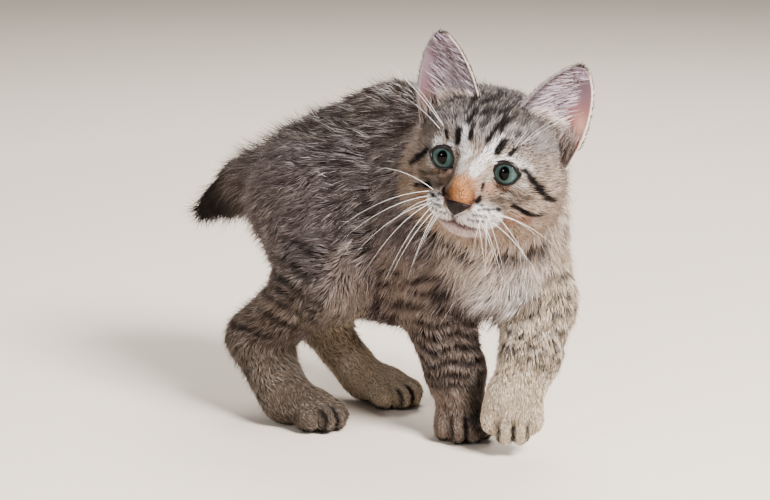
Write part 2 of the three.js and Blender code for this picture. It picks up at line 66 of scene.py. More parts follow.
CHEST = dict(centre=(10.3, -54.3, 118), half=(36, 44, 55), heading=-22)
BELLY = dict(centre=(10.4, -4.6, 111), half=(37, 48, 63.5), heading=0)
RUMP = dict(centre=(8.2, 35.4, 112), half=(36, 43, 43), heading=6)
BRISKET = ((0.6, -67.6, 118), (6.8, -62.5, 84))
BRISKET_RADII = ((24, 15),)
NECK = ((8.8, -55.6, 132), (-3.1, -69.4, 138))
NECK_RADII = ((36, 33),)
TAIL = ((8.1, 66.6, 121), (2.8, 94, 110.5), (3.9, 123.4, 97.6))
TAIL_RADII = ((18, 14.5), (14.5, 6))
FORELEG_RIGHT = ((-13, -45.1, 104), (0.4, -30, 75), (1.7, -47.1, 34), (1.7, -51.7, 12))
FORELEG_LEFT = ((28.5, -66, 104), (26.8, -79.8, 69), (8.2, -87.9, 46), (-3.6, -87.2, 24))
FORELEG_RADII = ((23, 18), (18, 15), (14, 12))
HINDLEG_RIGHT = ((-16.1, 33.2, 110), (-30.7, 11.8, 76), (-28, 59.8, 39), (-36.8, 31.5, 13.5))
HINDLEG_RIGHT_RADII = ((31, 20), (20, 14.5), (14.5, 14))
HINDLEG_LEFT = ((29.2, 32.1, 110), (26.5, 16.7, 76), (20.7, 64.1, 42), (19.7, 28, 12.5))
HINDLEG_LEFT_RADII = ((31, 20), (20, 12.5), (12.5, 12))
THIGH_FLATNESS = 1.12
PAWS = {
    "hindright": dict(centre=(-31.7, 17.5, 8.3), heading=-8, pitch=0, size=1.08),
    "hindleft": dict(centre=(24.9, 15.4, 8.2), heading=-8, pitch=0, size=1.08),
    "foreright": dict(centre=(2.4, -51.1, 8.3), heading=-46, pitch=0, size=1.08),
    "foreleft": dict(centre=(-3.5, -86.1, 24), heading=-50, pitch=-48, size=1.1),
}
TOES = ((-9.4, -6, 5.4), (-3.4, -10.5, 6), (3.4, -10.5, 6), (9.4, -6, 5.4))   # left, back, radius

HEAD = dict(heading=-70, pitch=-3, roll=-11)
HEAD_CENTRE = np.array((-15, -80.1, 144), F)
EYE = np.array((15.2, -19.6, 4.4), F)
EYE_RADIUS = 8.6
LID = 0.5                      # thickness of the lids
LASHES = 0.7                   # and of the fur on them
SOCKET = 1.4                   # how far inside the eyeball's surface the skin closes behind the lids
OPENING = (5.9, 5.2)           # half width and half height between the lids
NOSE_TIP = np.array((0, -44, -6), F)
FACE_BACK = -20                # the openings of the eyes lie before this place on the head's back axis

EAR_BASE = np.array((24.5, 1, 20))
EAR_TIP = np.array((34.6, 3.2, 54.3))
EAR_ACROSS = np.array((25, 4, -17))
EAR_INNER = dict(width=17.3, drop=1.6, power=0.62)     # half width: width * (1 - up ** drop) ** power
EAR_OUTER = dict(width=15.9, drop=1.8, power=0.575)
EAR_CUP = 8.5
EAR_WALL = 2.6                 # thickness at the root with its fur
EAR_SKIN = 1.3                 # thickness at the root without it

# Depth of the coat and length of its tufts, at the first and at the last joint of each part.
COAT = {
    "chest": ((8, 17), (8, 17)),
    "belly": ((7, 15), (7, 15)),
    "rump": ((7, 14), (7, 14)),
    "brisket": ((9, 16), (8, 17)),
    "neck": ((7, 14), (6, 12)),
    "tail": ((6.5, 18), (3.2, 16)),
    "foreleg": ((4.5, 9.5), (1.5, 4.2)),
    "hindleg": ((5.5, 10), (1.5, 4.2)),
    "paw": ((1.2, 3), (1.2, 3)),
}


# ---------------------------------------------------------------- distance functions over arrays of points

def axes_of(heading=0, pitch=0, roll=0):
    """Rows left, back and up of something that faces -Y at heading 0, then is turned, nodded and rolled."""
    turn, nod, tilt = np.radians((heading, pitch, roll))
    back = np.array((-math.sin(turn) * math.cos(nod), math.cos(turn) * math.cos(nod), -math.sin(nod)))
    level_left = np.array((math.cos(turn), math.sin(turn), 0))
    level_up = np.cross(level_left, back)
    left = level_left * math.cos(tilt) + level_up * math.sin(tilt)
    up = level_up * math.cos(tilt) - level_left * math.sin(tilt)
    return np.array((left, back, up), F)


def blend(a, b, width):
    """Union of two distances, with a fillet of that width where they are nearly equal."""
    overlap = np.maximum(width - np.abs(a - b), 0) / F(width)
    return np.minimum(a, b) - overlap * overlap * F(width / 4)


def carve(a, b, width):
    """Distance a without what lies inside b, with a fillet of that width."""
    return -blend(-a, b, width)


def unit(vectors):
    """Vectors scaled to length 1."""
    return vectors / np.maximum(np.linalg.norm(vectors, axis=-1, keepdims=True), 1e-9)


def smooth_step(value, low, high):
    """0 below low and 1 above high, with 3t^2 - 2t^3 between them."""
    t = np.clip((value - low) / (high - low), 0, 1)
    return t * t * (3 - 2 * t)


def along_bone(p, start, end):
    """Share of the way from start to end at which each point's nearest place on the bone lies."""
    bone = np.asarray(end, F) - np.asarray(start, F)
    return np.clip((p - np.asarray(start, F)) @ bone / (bone @ bone), 0, 1)


def limb(p, start, end, radii, side_flatness=1):
    """Distance to a bone padded with a radius that changes evenly from its start to its end."""
    along = along_bone(p, start, end)
    away = p - np.asarray(start, F) - along[:, None] * (np.asarray(end, F) - np.asarray(start, F))
    away[:, 0] *= side_flatness
    return np.sqrt((away * away).sum(1)) - (radii[0] + (radii[1] - radii[0]) * along)


def ellipsoid(q, centre, half):
    """Near distance to an ellipsoid: k(k - 1)/g, with k the scaled radius and g the length of its slope."""
    q = q - np.asarray(centre, F)
    half = np.asarray(half, F)
    scaled = np.sqrt(((q / half) ** 2).sum(1))
    slope = np.sqrt(((q / half ** 2) ** 2).sum(1)) + 1e-9
    return scaled * (scaled - 1) / slope


def body_part(p, shape):
    """Near distance to one of the trunk's three turned ellipsoids."""
    q = (p - np.asarray(shape["centre"], F)) @ axes_of(shape["heading"]).T
    return ellipsoid(q, (0, 0, 0), shape["half"])


def bones(p, joints, radii, fillets, side_flatness=1):
    """Distance to padded bones in a row, each filleted into the ones before."""
    distance = limb(p, joints[0], joints[1], radii[0], side_flatness)
    for i in range(1, len(radii)):
        distance = blend(distance, limb(p, joints[i], joints[i + 1], radii[i]), fillets[i - 1])
    return distance


def in_paw(p, foot):
    """Points in a paw's own axes, at the size of a paw 25 mm wide."""
    turned = axes_of(foot["heading"], foot["pitch"])
    return (p - np.asarray(foot["centre"], F)) @ turned.T / F(foot["size"])


def paw(p, foot):
    """Distance to a padded foot with four toes in an arc across its front."""
    q = in_paw(p, foot)
    toes = None
    for left, back, radius in TOES:
        toe = ellipsoid(q, (left, back, -1.5), (radius * 0.95, radius * 1.4, radius * 1.2))
        toes = toe if toes is None else blend(toes, toe, 1.2)
    return blend(ellipsoid(q, (0, 3, 1.5), (12.5, 13, 9.5)), toes, 4) * F(foot["size"])


HEAD_AXES = axes_of(**HEAD)


def in_head(p):
    """Points as left, back and up of the middle of the head."""
    return (p - HEAD_CENTRE) @ HEAD_AXES.T


def from_head(q):
    """Head points in the frame."""
    return np.asarray(q, F) @ HEAD_AXES + HEAD_CENTRE


def as_pair(q):
    """Head points with both sides folded onto the left one."""
    return np.abs(q) * np.array((1, 0, 0), F) + q * np.array((0, 1, 1), F)


def head(p):
    """Distance to the furred head: skull, cheeks, brows, eye sockets, nose, whisker pads, chin and jaw."""
    q = in_head(p)
    pair = as_pair(q)
    distance = ellipsoid(q, (0, 5, 6), (33.5, 33, 27))
    distance = blend(distance, ellipsoid(pair, (20, -2, -9), (17, 20, 17)), 10)
    distance = blend(distance, ellipsoid(pair, (14, -12, 15), (13, 11, 10)), 10)
    distance = blend(distance, ellipsoid(pair, (16, -13, 3), (14, 10.5, 13)), 6)
    distance = blend(distance, limb(q, (0, -19, 11), (0, -37, -5), (11, 6.8)), 7)
    distance = blend(distance, ellipsoid(pair, (8, -30.5, -14), (10.5, 12, 8.8)), 8)
    distance = blend(distance, ellipsoid(q, (0, -39.5, -9.5), (6.2, 5, 5)), 3)
    distance = blend(distance, ellipsoid(q, (0, -26.5, -22.5), (11, 10.5, 7)), 5)
    return blend(distance, ellipsoid(q, (0, -10, -18), (22, 24, 12)), 8)


def outline(p):
    """Distance to the whole furred kitten but for the ears, with every joint filleted."""
    barrel = blend(blend(body_part(p, CHEST), body_part(p, BELLY), 22), body_part(p, RUMP), 22)
    distance = blend(barrel, bones(p, BRISKET, BRISKET_RADII, ()), 16)
    distance = blend(distance, bones(p, NECK, NECK_RADII, ()), 20)
    hind_right = bones(p, HINDLEG_RIGHT, HINDLEG_RIGHT_RADII, (12, 8), THIGH_FLATNESS)
    hind_left = bones(p, HINDLEG_LEFT, HINDLEG_LEFT_RADII, (12, 8), THIGH_FLATNESS)
    distance = blend(distance, hind_right, 22)
    distance = blend(distance, bones(p, FORELEG_RIGHT, FORELEG_RADII, (8, 6)), 14)
    distance = blend(distance, hind_left, 22)
    distance = blend(distance, bones(p, FORELEG_LEFT, FORELEG_RADII, (8, 6)), 14)
    distance = blend(distance, bones(p, TAIL, TAIL_RADII, (6,)), 14)
    for foot in PAWS.values():
        distance = blend(distance, paw(p, foot), 5)
    return blend(distance, head(p), 10)


def slope_of(field, p, step=0.25):
    """Value of a field and its slope, from its values at each point and just past it along each axis."""
    value = field(p)
    ahead = [field(p + np.eye(3, dtype=F)[axis] * F(step)) for axis in range(3)]
    return value, (np.stack(ahead, 1) - value[:, None]) / F(step)


GENTLE = 0.1                   # squared slope below which a step isn't made longer


def settle(field, p, level=0, steps=2):
    """Points moved along the field's slope until the field has that level, and the slope's direction."""
    for _ in range(steps):
        value, slope = slope_of(field, p)
        p = p - ((value - level) / np.maximum((slope * slope).sum(1), GENTLE))[:, None] * slope
    return p.astype(F), unit(slope)


# ---------------------------------------------------------------- lie of the coat

SPREAD = 4.0                   # how far one part's lie reaches into the next

# Ways in which the fur lies on each bone, where it doesn't follow the bone.
TAIL_WAYS = ((0, 0.75, -0.65), (-0.05, 0.52, -0.85))
FORELEG_WAYS = ((0, 0.45, -0.9), None, None)
HINDLEG_WAYS = ((0, 0.78, -0.62), None, None)


def coat_at(name, along):
    """Depth of a part's coat and length of its tufts at that share of the way along the part."""
    (depth_a, length_a), (depth_b, length_b) = COAT[name]
    return depth_a + (depth_b - depth_a) * along, length_a + (length_b - length_a) * along


def coat_parts(p):
    """For each part: its name, its distance, the way its fur lies, and its coat's depth and length there."""
    still = np.zeros(len(p), F)
    rounds = (
        ("trunk", "chest", body_part(p, CHEST), (0, 0.75, -0.65)),
        ("trunk", "belly", body_part(p, BELLY), (0, 1, -0.45)),
        ("trunk", "rump", body_part(p, RUMP), (0, 0.8, -0.6)),
        ("chest", "brisket", limb(p, *BRISKET, BRISKET_RADII[0]), (0, 0.25, -1)),
        ("chest", "neck", limb(p, *NECK, NECK_RADII[0]), (0.1, 0.55, -0.8)),
    )
    for name, coat, distance, way in rounds:
        yield name, distance, np.array(way), *coat_at(coat, still)
    chains = (
        ("tail", TAIL, TAIL_RADII, "tail", TAIL_WAYS),
        ("foreleg_right", FORELEG_RIGHT, FORELEG_RADII, "foreleg", FORELEG_WAYS),
        ("foreleg_left", FORELEG_LEFT, FORELEG_RADII, "foreleg", FORELEG_WAYS),
        ("hindleg_right", HINDLEG_RIGHT, HINDLEG_RIGHT_RADII, "hindleg", HINDLEG_WAYS),
        ("hindleg_left", HINDLEG_LEFT, HINDLEG_LEFT_RADII, "hindleg", HINDLEG_WAYS),
    )
    for name, joints, radii, coat, ways in chains:
        for i, pair in enumerate(radii):
            along = (i + along_bone(p, joints[i], joints[i + 1])) / len(radii)
            way = np.array(ways[i]) if ways[i] else unit(np.subtract(joints[i + 1], joints[i]))
            yield name, limb(p, joints[i], joints[i + 1], pair), way, *coat_at(coat, along)
    for name, foot in PAWS.items():
        leg = "foreleg_" if name.startswith("fore") else "hindleg_"
        side = name.removeprefix("fore").removeprefix("hind")
        forward = -axes_of(foot["heading"], foot["pitch"])[1] + np.array((0, 0, -0.35))
        yield leg + side, paw(p, foot), forward, *coat_at("paw", still)
    q = in_head(p)
    reach = np.linalg.norm(q - NOSE_TIP, axis=1)
    around_eye = np.linalg.norm(as_pair(q) - EYE, axis=1) - EYE_RADIUS
    growth = smooth_step(reach, 6, 62) * smooth_step(around_eye, -2, 13)
    ruff = smooth_step(np.abs(q[:, 0]), 20, 33) * smooth_step(-q[:, 2], -6, 12)
    beard = np.exp(-np.linalg.norm(q - np.array((-2, -29, -29), F), axis=1) ** 2 / 90)
    away = unit(q - NOSE_TIP + np.array((0, 6, 0), F)) @ HEAD_AXES
    depth = 0.7 + 2.9 * growth + 0.3 * beard
    length = 1.9 + 4.6 * growth + 4 * ruff + 2.2 * beard
    yield "head", head(p), away, depth, length


def lie_of_coat(p):
    """Mean way, depth and length over the parts, each weighed by exp(-distance past the nearest / SPREAD),
    and the nearest part's name."""
    parts = list(coat_parts(p))
    distances = np.stack([part[1] for part in parts])
    names = [part[0] for part in parts]
    weights = np.exp(-(distances - distances.min(0)) / SPREAD)
    weights /= weights.sum(0)
    way = sum(w[:, None] * part[2] for w, part in zip(weights, parts))
    depth = sum(w * part[3] for w, part in zip(weights, parts))
    length = sum(w * part[4] for w, part in zip(weights, parts))
    return way.astype(F), depth.astype(F), length.astype(F), np.array(names)[distances.argmin(0)]


# ---------------------------------------------------------------- skin

# The line of the mouth on its left side, in head axes, from under the nose to the corner.
LIPS = ((0, -41, -17.5), (0, -38.3, -20.4), (0.8, -37.6, -22.4), (4, -37.2, -23.1), (8, -36.4, -23.2),
        (12.5, -33.8, -22.7))
LIP_RADIUS = 1.0
LIP_FILLET = 1.2
LID_FILLET = 2.5
MOUTH_ASIDE = 1.8              # how far to the right of the head's middle the mouth and the nose's foot lie

LEATHER_TOP = -9.0
LEATHER_FOOT = -17.8
LEATHER_HALF_WIDTH = 7.2
LEATHER_BACK = -36.5           # the leather lies wholly before this place
LEATHER_LEAN = 0.75            # about the cosine of the slant of its sides


def chain(q, places, radius):
    """Distance to a chain of straight tubes through those places."""
    distance = limb(q, places[0], places[1], (radius, radius))
    for start, end in zip(places[1:], places[2:]):
        distance = np.minimum(distance, limb(q, start, end, (radius, radius)))
    return distance


def past_lips(q):
    """Distance to the line of the mouth, in head axes."""
    return chain(as_pair(q + np.array((MOUTH_ASIDE, 0, 0), F)), LIPS, LIP_RADIUS)


def coat_surface(p):
    """Distance to the outline, with the lids bulging over each eye."""
    from_eye = as_pair(in_head(p)) - EYE
    return blend(outline(p), np.linalg.norm(from_eye, axis=1) - (EYE_RADIUS + LID + LASHES), LID_FILLET)


def past_lids(pair):
    """Distance past the almond opening between the lids, seen from the front: below 0 inside it."""
    width, height = OPENING
    return (np.hypot((pair[:, 0] - EYE[0]) / width, (pair[:, 2] - EYE[2]) / height) - 1) * height


def past_leather(q):
    """Distance past the edge of the nose leather, seen from the front: a rounded triangle, point down."""
    height = (q[:, 2] - LEATHER_FOOT) / (LEATHER_TOP - LEATHER_FOOT)
    half_width = LEATHER_HALF_WIDTH * np.clip(height, 0, 1) ** 0.8
    aside = q[:, 0] + MOUTH_ASIDE * (1 - height)
    top = q[:, 2] - LEATHER_TOP + 0.02 * q[:, 0] ** 2
    foot = np.hypot(aside, q[:, 2] - LEATHER_FOOT)
    side = np.where(height > 0, (np.abs(aside) - half_width) * LEATHER_LEAN, foot)
    return np.maximum(top, side)


def skin(p):
    """Distance to the skin: the coat's surface less its depth, open between the lids and along the mouth."""
    distance = coat_surface(p) + lie_of_coat(p)[1]
    pair = as_pair(in_head(p))
    from_eye = pair - EYE
    radius = np.linalg.norm(from_eye, axis=1)
    opening = np.maximum(np.maximum(past_lids(pair), from_eye[:, 1]), EYE_RADIUS - SOCKET - radius)
    distance = np.maximum(distance, -opening)
    return carve(distance, past_lips(in_head(p)), LIP_FILLET)


BAND = 4                       # fine cells to a coarse one
NEAR = 1.9                     # coarse cells within which the surface may lie


def level_surface(field, low, high, cell):
    """Faces round the space where a field is below 0.
    Each cell that the surface crosses has one corner, at the mean of the crossings on its edges, and each
    crossed edge has one four-sided face round it. Only cells near the surface are worked out finely."""
    low = np.asarray(low, float)
    coarse = np.ceil((np.asarray(high, float) - low) / (cell * BAND)).astype(int)
    nodes = np.stack(np.meshgrid(*[np.arange(n) for n in coarse], indexing="ij"), -1).reshape(-1, 3)
    middle = low + (nodes + 0.5) * cell * BAND - cell / 2
    values = field(middle.astype(F)).reshape(coarse)
    for axis in range(3):
        values = np.repeat(values, BAND, axis)
    near = np.argwhere(np.abs(values) < cell * BAND * NEAR)
    values[tuple(near.T)] = field((low + near * cell).astype(F))
    inside = values < 0
    size = np.array(values.shape)
    count = np.zeros(size - 1, np.int8)
    for i in (0, 1):
        for j in (0, 1):
            for k in (0, 1):
                count += inside[i:size[0] - 1 + i, j:size[1] - 1 + j, k:size[2] - 1 + k]
    crossed = (count > 0) & (count < 8)
    cells = np.argwhere(crossed)
    number = np.full(crossed.shape, -1)
    number[crossed] = np.arange(len(cells))
    total = np.zeros((len(cells), 3))
    crossings = np.zeros(len(cells))
    faces = []
    for axis in range(3):
        one, two = (axis + 1) % 3, (axis + 2) % 3
        for shift_one in (0, 1):
            for shift_two in (0, 1):
                start = cells.copy()
                start[:, one] += shift_one
                start[:, two] += shift_two
                end = start.copy()
                end[:, axis] += 1
                a, b = values[tuple(start.T)], values[tuple(end.T)]
                cut = (a < 0) != (b < 0)
                place = start[cut].astype(float)
                place[:, axis] += a[cut] / (a[cut] - b[cut])
                total[cut] += place
                crossings[cut] += 1
        before = [slice(None)] * 3
        after = [slice(None)] * 3
        before[axis] = slice(0, -1)
        after[axis] = slice(1, None)
        edges = np.argwhere(inside[tuple(before)] != inside[tuple(after)])
        ring = []
        for back_one, back_two in ((1, 1), (0, 1), (0, 0), (1, 0)):
            corner = edges.copy()
            corner[:, one] -= back_one
            corner[:, two] -= back_two
            ring.append(number[tuple(corner.T)])
        ring = np.stack(ring, 1)
        outward = inside[tuple(edges.T)]
        ring[~outward] = ring[~outward][:, ::-1]
        faces.append(ring)
    return (low + total / crossings[:, None] * cell).astype(F), np.concatenate(faces)


# ---------------------------------------------------------------- markings

WAVES = 8
WAVE_SUM = 2.4                 # their sum is mostly within this


def ripple(p, size, seed):
    """Smooth noise near -1 to 1 with features about size across: sines of the place along fixed ways."""
    fixed = np.random.default_rng(seed)
    ways = unit(fixed.normal(size=(WAVES, 3))) * fixed.uniform(0.7, 1.5, (WAVES, 1)) * (2 * math.pi / size)
    phases = fixed.uniform(0, 2 * math.pi, WAVES)
    return np.sin(p @ ways.T.astype(F) + phases.astype(F)).sum(1) / WAVE_SUM


def colour(red, green, blue):
    """Linear colour of a tone given in 0 to 255 as a screen shows it."""
    share = np.array((red, green, blue)) / 255
    return np.where(share > 0.04045, ((share + 0.055) / 1.055) ** 2.4, share / 12.92)


FLANK = colour(91, 80, 79)
BACK = colour(80, 66, 58)
# Warm tone under the body, darkened with painted shade.
BELLY_WARM_SHADE = colour(68, 53, 51)
FLAP = colour(143, 127, 119)
PALE = colour(198, 188, 185)
DARK = colour(20, 15, 14)
CREAM = colour(224, 204, 190)
WHITE = colour(252, 248, 249)
TAN = colour(194, 132, 82)
BRIDGE_BROWN = colour(84, 52, 34)
FOREHEAD = colour(128, 119, 115)
CROWN = colour(70, 61, 56)
CHEEK = colour(168, 146, 128)
CHIN = colour(232, 210, 212)
LEG_BROWN = colour(136, 118, 107)
LEG_TAN = colour(121, 106, 92)
LEG_CREAM = colour(230, 211, 186)
SHANK = colour(72, 60, 55)
TAIL_BROWN = colour(82, 68, 62)
TAIL_END = colour(30, 24, 22)
LIP = colour(84, 50, 48)
UNDER_EYE = colour(84, 73, 64)
PEACH = colour(212, 158, 122)
RUSSET = colour(150, 98, 72)
TICKED = colour(108, 90, 76)
FOOT_TONES = {
    "hindright": colour(102, 88, 76),
    "hindleft": colour(190, 168, 142),
    "foreright": colour(128, 110, 98),
    "foreleft": LEG_CREAM,
}

# Dark lines of the face on its left side, from front to back, with the half width of each.
FACE_LINES = (
    (((4.2, -28, 17.8), (5, -25, 21.5), (6, -21.5, 25)), 1.35),
    (((10.3, -27.6, 13.8), (11.4, -25, 19)), 1.7),
    (((8.5, -22, 23.6), (7.2, -14.5, 29)), 1.5),
    (((15.6, -25.7, 13.6), (17.8, -24.2, 16.9)), 1.1),
    (((21.5, -25, 7.5), (24, -22.9, 7), (26.1, -21.8, 4.4)), 0.9),
    (((26.1, -21.8, 4.4), (28.5, -19.9, 1.6), (30.8, -17.4, -1.3)), 1.7),
    (((30.8, -17.4, -1.3), (33.3, -14, -4.4)), 2.3),
    (((33.3, -14, -4.4), (35.6, -10, -7.2), (37.5, -6, -8.5)), 1.5),
    (((21.7, -23.1, -11.1), (24.4, -21.2, -12.8), (27.4, -18.8, -14.5), (30.6, -15.7, -15.5),
      (33.5, -12.5, -14.2)), 1.3),
    (((14, -39, -11), (19, -30, -11), (22.5, -23.5, -10.3)), 0.7),
    (((7.4, -32.5, -1.5), (7.5, -35, -4.3)), 1.2),
    (((9.6, -38, -5.6), (8.6, -40.5, -8)), 1.1),
)
CROWN_LINES = (
    (((0.4, -24, 23.5), (0.8, -8, 32), (1, 8, 33)), 1.2),
    (((3.2, -20, 27), (3.4, -8, 32), (3.6, 8, 33)), 1.2),
    (((6.3, -12, 30.5), (6.5, -4, 32), (6.8, 8, 32)), 1.2),
    (((10.5, -19, 26.5), (11, -8, 30.5), (11.5, 8, 31)), 1.3),
    (((15, -20, 22.5), (16, -10, 26.5), (16.5, 2, 28)), 1.1),
    (((20, -19, 19.5), (22.5, -8, 22)), 1.1),
)
LINE_MARKS = ((FACE_LINES, 1.0, 0.28), (CROWN_LINES, 0.85, 0.85))     # strength and raggedness of each
BROW = ((3.2, -36, 4), (4.5, -32.5, 10), (8, -28.6, 14.5), (8.5, -25, 19))     # pale stripe up from the nose
FORELEG_BARS = (83, 75, 67, 58.5, 51.5, 46, 40.5, 34.5, 28.5, 22)     # their heights
# Bars of the thigh from front to back, as places (y, z) on its side, with the half width of each.
THIGH_BARS = (
    (((6, 93), (13, 97.5), (24, 99)), 1.2),
    (((3, 81), (14, 87), (27, 89)), 1.6),
    (((0, 68.5), (7, 73), (16, 77.5), (34, 80)), 1.8),
    (((7, 57), (14, 62), (26, 66), (44, 68)), 1.7),
    (((3, 63), (11, 67.5), (22, 71.5), (38, 74)), 1.4),
    (((20, 51), (30, 55.5), (44, 59.5)), 1.6),
    (((38, 44), (54, 47.5), (67, 46.5)), 1.5),
)
NECKLACE = (
    ((-35.5, -57, 108), (-33.1, -62.2, 104.6), (-29.9, -67.5, 101.4), (-25.6, -72.6, 97.5)),
    ((-14.1, -87.6, 95.8), (-6.9, -92.3, 96.2), (2.1, -95.1, 97.5), (13, -96, 100)),
    ((-26.4, -42.7, 81.2), (-23.3, -47.7, 78.4), (-18.3, -52.9, 74.8)),
)
PAD_SPOTS = (
    (11, -40, -8.8), (10.4, -41.7, -11.2), (12.3, -40.3, -10.3), (14.1, -39, -10.4),
    (8.5, -42.5, -14.4), (10.1, -42.3, -13.9), (11.9, -41.7, -14), (14, -40.4, -14.1),
    (5.9, -41.2, -17.6), (8, -41.5, -17.6), (10.5, -41.4, -17.1), (12.7, -40.4, -17.1),
)


def plain(tone, count):
    """That many copies of a colour."""
    return np.tile(tone, (count, 1))


def mix(a, b, share):
    """Colours between a and b."""
    return a + (b - a) * np.clip(share, 0, 1)[:, None]


def trunk_colours(p, names, wander, broken):
    """Colours of trunk, chest and neck: dark back, warm belly in painted shade, cream front, broken
    necklace.
    """
    x, y, z = p.T
    tint = plain(FLANK, len(p))
    tint = mix(tint, BACK, smooth_step(z + 4 * wander + 0.45 * np.maximum(y - 10, 0), 136, 168) * 0.9)
    # Toward the bottom the coat turns warm and dark: its own warm tone with painted shade.
    tint = mix(tint, BELLY_WARM_SHADE, smooth_step(-z + 3 * wander, -114, -76))
    flank = smooth_step(z, 84, 100)
    ripples = np.cos((y + 0.5 * (z - 110) + 4 * wander) * (2 * math.pi / 15))
    tint = mix(tint, DARK, flank * smooth_step(ripples + 0.7 * broken, 0.5, 1.3) * 0.28)
    forward = (p - np.asarray(CHEST["centre"], F)) @ -axes_of(CHEST["heading"])[1]
    front = smooth_step(forward + 3 * wander, 10, 30) * smooth_step(-z, -138, -122)
    tint = mix(tint, CREAM, front * 0.95)
    tint = mix(tint, FOREHEAD, front * smooth_step(ripple(p, 12, 17), -0.1, 1.3) * flank * 0.6)
    tint = mix(tint, WHITE, front * smooth_step(-z + 4 * wander, -92, -72) * 0.7)
    ruff = (names == "neck") * smooth_step(-y - 0.4 * x, 52, 66)
    tint = mix(tint, CREAM, ruff * 0.7)
    for places in NECKLACE:
        line = chain(p, places, 4.4) + 0.8 * broken + 0.8 * wander
        tint = mix(tint, DARK, smooth_step(-line, -2.0, 0.6) * 0.95)
    return tint


def tail_colours(p, wander):
    """Colours of the tail: grey-brown at its root, near black at its end."""
    share = smooth_step(p[:, 1] - 0.5 * (p[:, 2] - 105) + 3 * wander, 78, 112)
    return mix(plain(TAIL_BROWN, len(p)), TAIL_END, share)


def leg_colours(p, names, wander, broken):
    """Colours of the legs: grey-brown barred with dark outside, tan inside and down to the toes."""
    x, y, z = p.T
    tint = plain(FLANK, len(p))
    right_fore, left_fore = names == "foreleg_right", names == "foreleg_left"
    hind = (names == "hindleg_right") | (names == "hindleg_left")
    tint = mix(tint, LEG_BROWN, right_fore * smooth_step(-z, -104, -78))
    tint = mix(tint, SHANK, right_fore * smooth_step(-z, -44, -26) * 0.5)
    front = smooth_step(-y + 0.5 * x, 44, 60) * smooth_step(z, 54, 66)
    tint = mix(tint, CREAM, right_fore * front * 0.45)
    tint = mix(tint, LEG_CREAM, left_fore * smooth_step(-z + 0.4 * x, -98, -76) * smooth_step(-y, 62, 82))
    mottle = smooth_step(ripple(p, 6, 12) + 0.4 * broken, -0.3, 1.1)
    tint = mix(tint, TICKED, left_fore * mottle * (0.5 + 0.4 * smooth_step(-z, -74, -48)))
    tint = mix(tint, SHANK, hind * smooth_step(-z, -70, -50))
    tint = mix(tint, LEG_TAN, hind * smooth_step(-z + 0.35 * y, -40, -14) * 0.85)
    tint = mix(tint, LEG_TAN, hind * np.exp(-((z - 62) / 16) ** 2) * 0.6)
    inner = np.where(x < 0, smooth_step(x, -26, -12), smooth_step(-x, -30, -16))
    tint = mix(tint, LEG_CREAM, hind * inner * 0.8)
    bars = sum(np.exp(-((z + 1.5 * wander - height) / 1.9) ** 4) for height in FORELEG_BARS)
    tint = mix(tint, DARK, right_fore * bars * smooth_step(broken, -2.2, -1.2))
    tint = mix(tint, DARK, left_fore * bars * smooth_step(ripple(p, 7, 8), -0.9, 0.0) * 0.9)
    # Painted shade in the crease where the left foreleg meets the chest.
    inner_edge_shade = smooth_step(0.77 * y - 0.64 * x, -77, -66) * smooth_step(z, 58, 74)
    tint = mix(tint, SHANK, left_fore * inner_edge_shade * 0.75)
    wrist = np.exp(-((x + 7) ** 2 + (y + 93) ** 2 + (z - 45) ** 2) / 50)
    tint = mix(tint, DARK, left_fore * wrist * 0.5)
    heel = hind * smooth_step(y, 46, 64) * smooth_step(-z, -50, -34)
    return mix(tint, DARK, heel * 0.55)


def thigh_colours(tint, p, broken):
    """The dark bars of the thigh, and the pale fold of skin in front of it, on both sides of the body."""
    flap = ellipsoid(p, (-36, -9, 80), (18, 7.5, 19)) + 1.5 * broken
    tint = mix(tint, FLAP, smooth_step(-flap, -3, 2.5) * 0.95)
    flat = p * np.array((0, 1, 1), F)
    outer = smooth_step(np.abs(p[:, 0] - RUMP["centre"][0]), 26, 36)
    for places, half_width in THIGH_BARS:
        line = chain(flat, [(0, y, z) for y, z in places], half_width) + 0.35 * broken
        tint = mix(tint, DARK, smooth_step(-line, -0.7, 0.4) * outer * 0.85)
    return tint


def paw_colours(tint, p):
    """Colours of the feet: each foot in its own tone, with painted shade in the clefts between the toes,
    and dark soles, their pads' own colour deepened by painted contact shade.
    """
    for name, foot in PAWS.items():
        q = in_paw(p, foot)
        reach = np.linalg.norm(q, axis=1)
        tint = mix(tint, FOOT_TONES[name], smooth_step(-reach, -25, -17))
        # Painted shade in the clefts between the toes.
        aside = np.minimum(np.abs(q[:, 0]), np.abs(np.abs(q[:, 0]) - 6.7))
        cleft_shade = np.exp(-(aside / 0.95) ** 4) * smooth_step(-q[:, 1], 10, 14) * smooth_step(-reach, -24, -21)
        tint = mix(tint, DARK, cleft_shade * 0.97)
        # Dark soles: the pads' own colour, deepened by painted contact shade.
        tint = mix(tint, DARK, smooth_step(-reach, -25, -22) * smooth_step(-q[:, 2], 4.5, 6.5) * 0.9)
    return tint


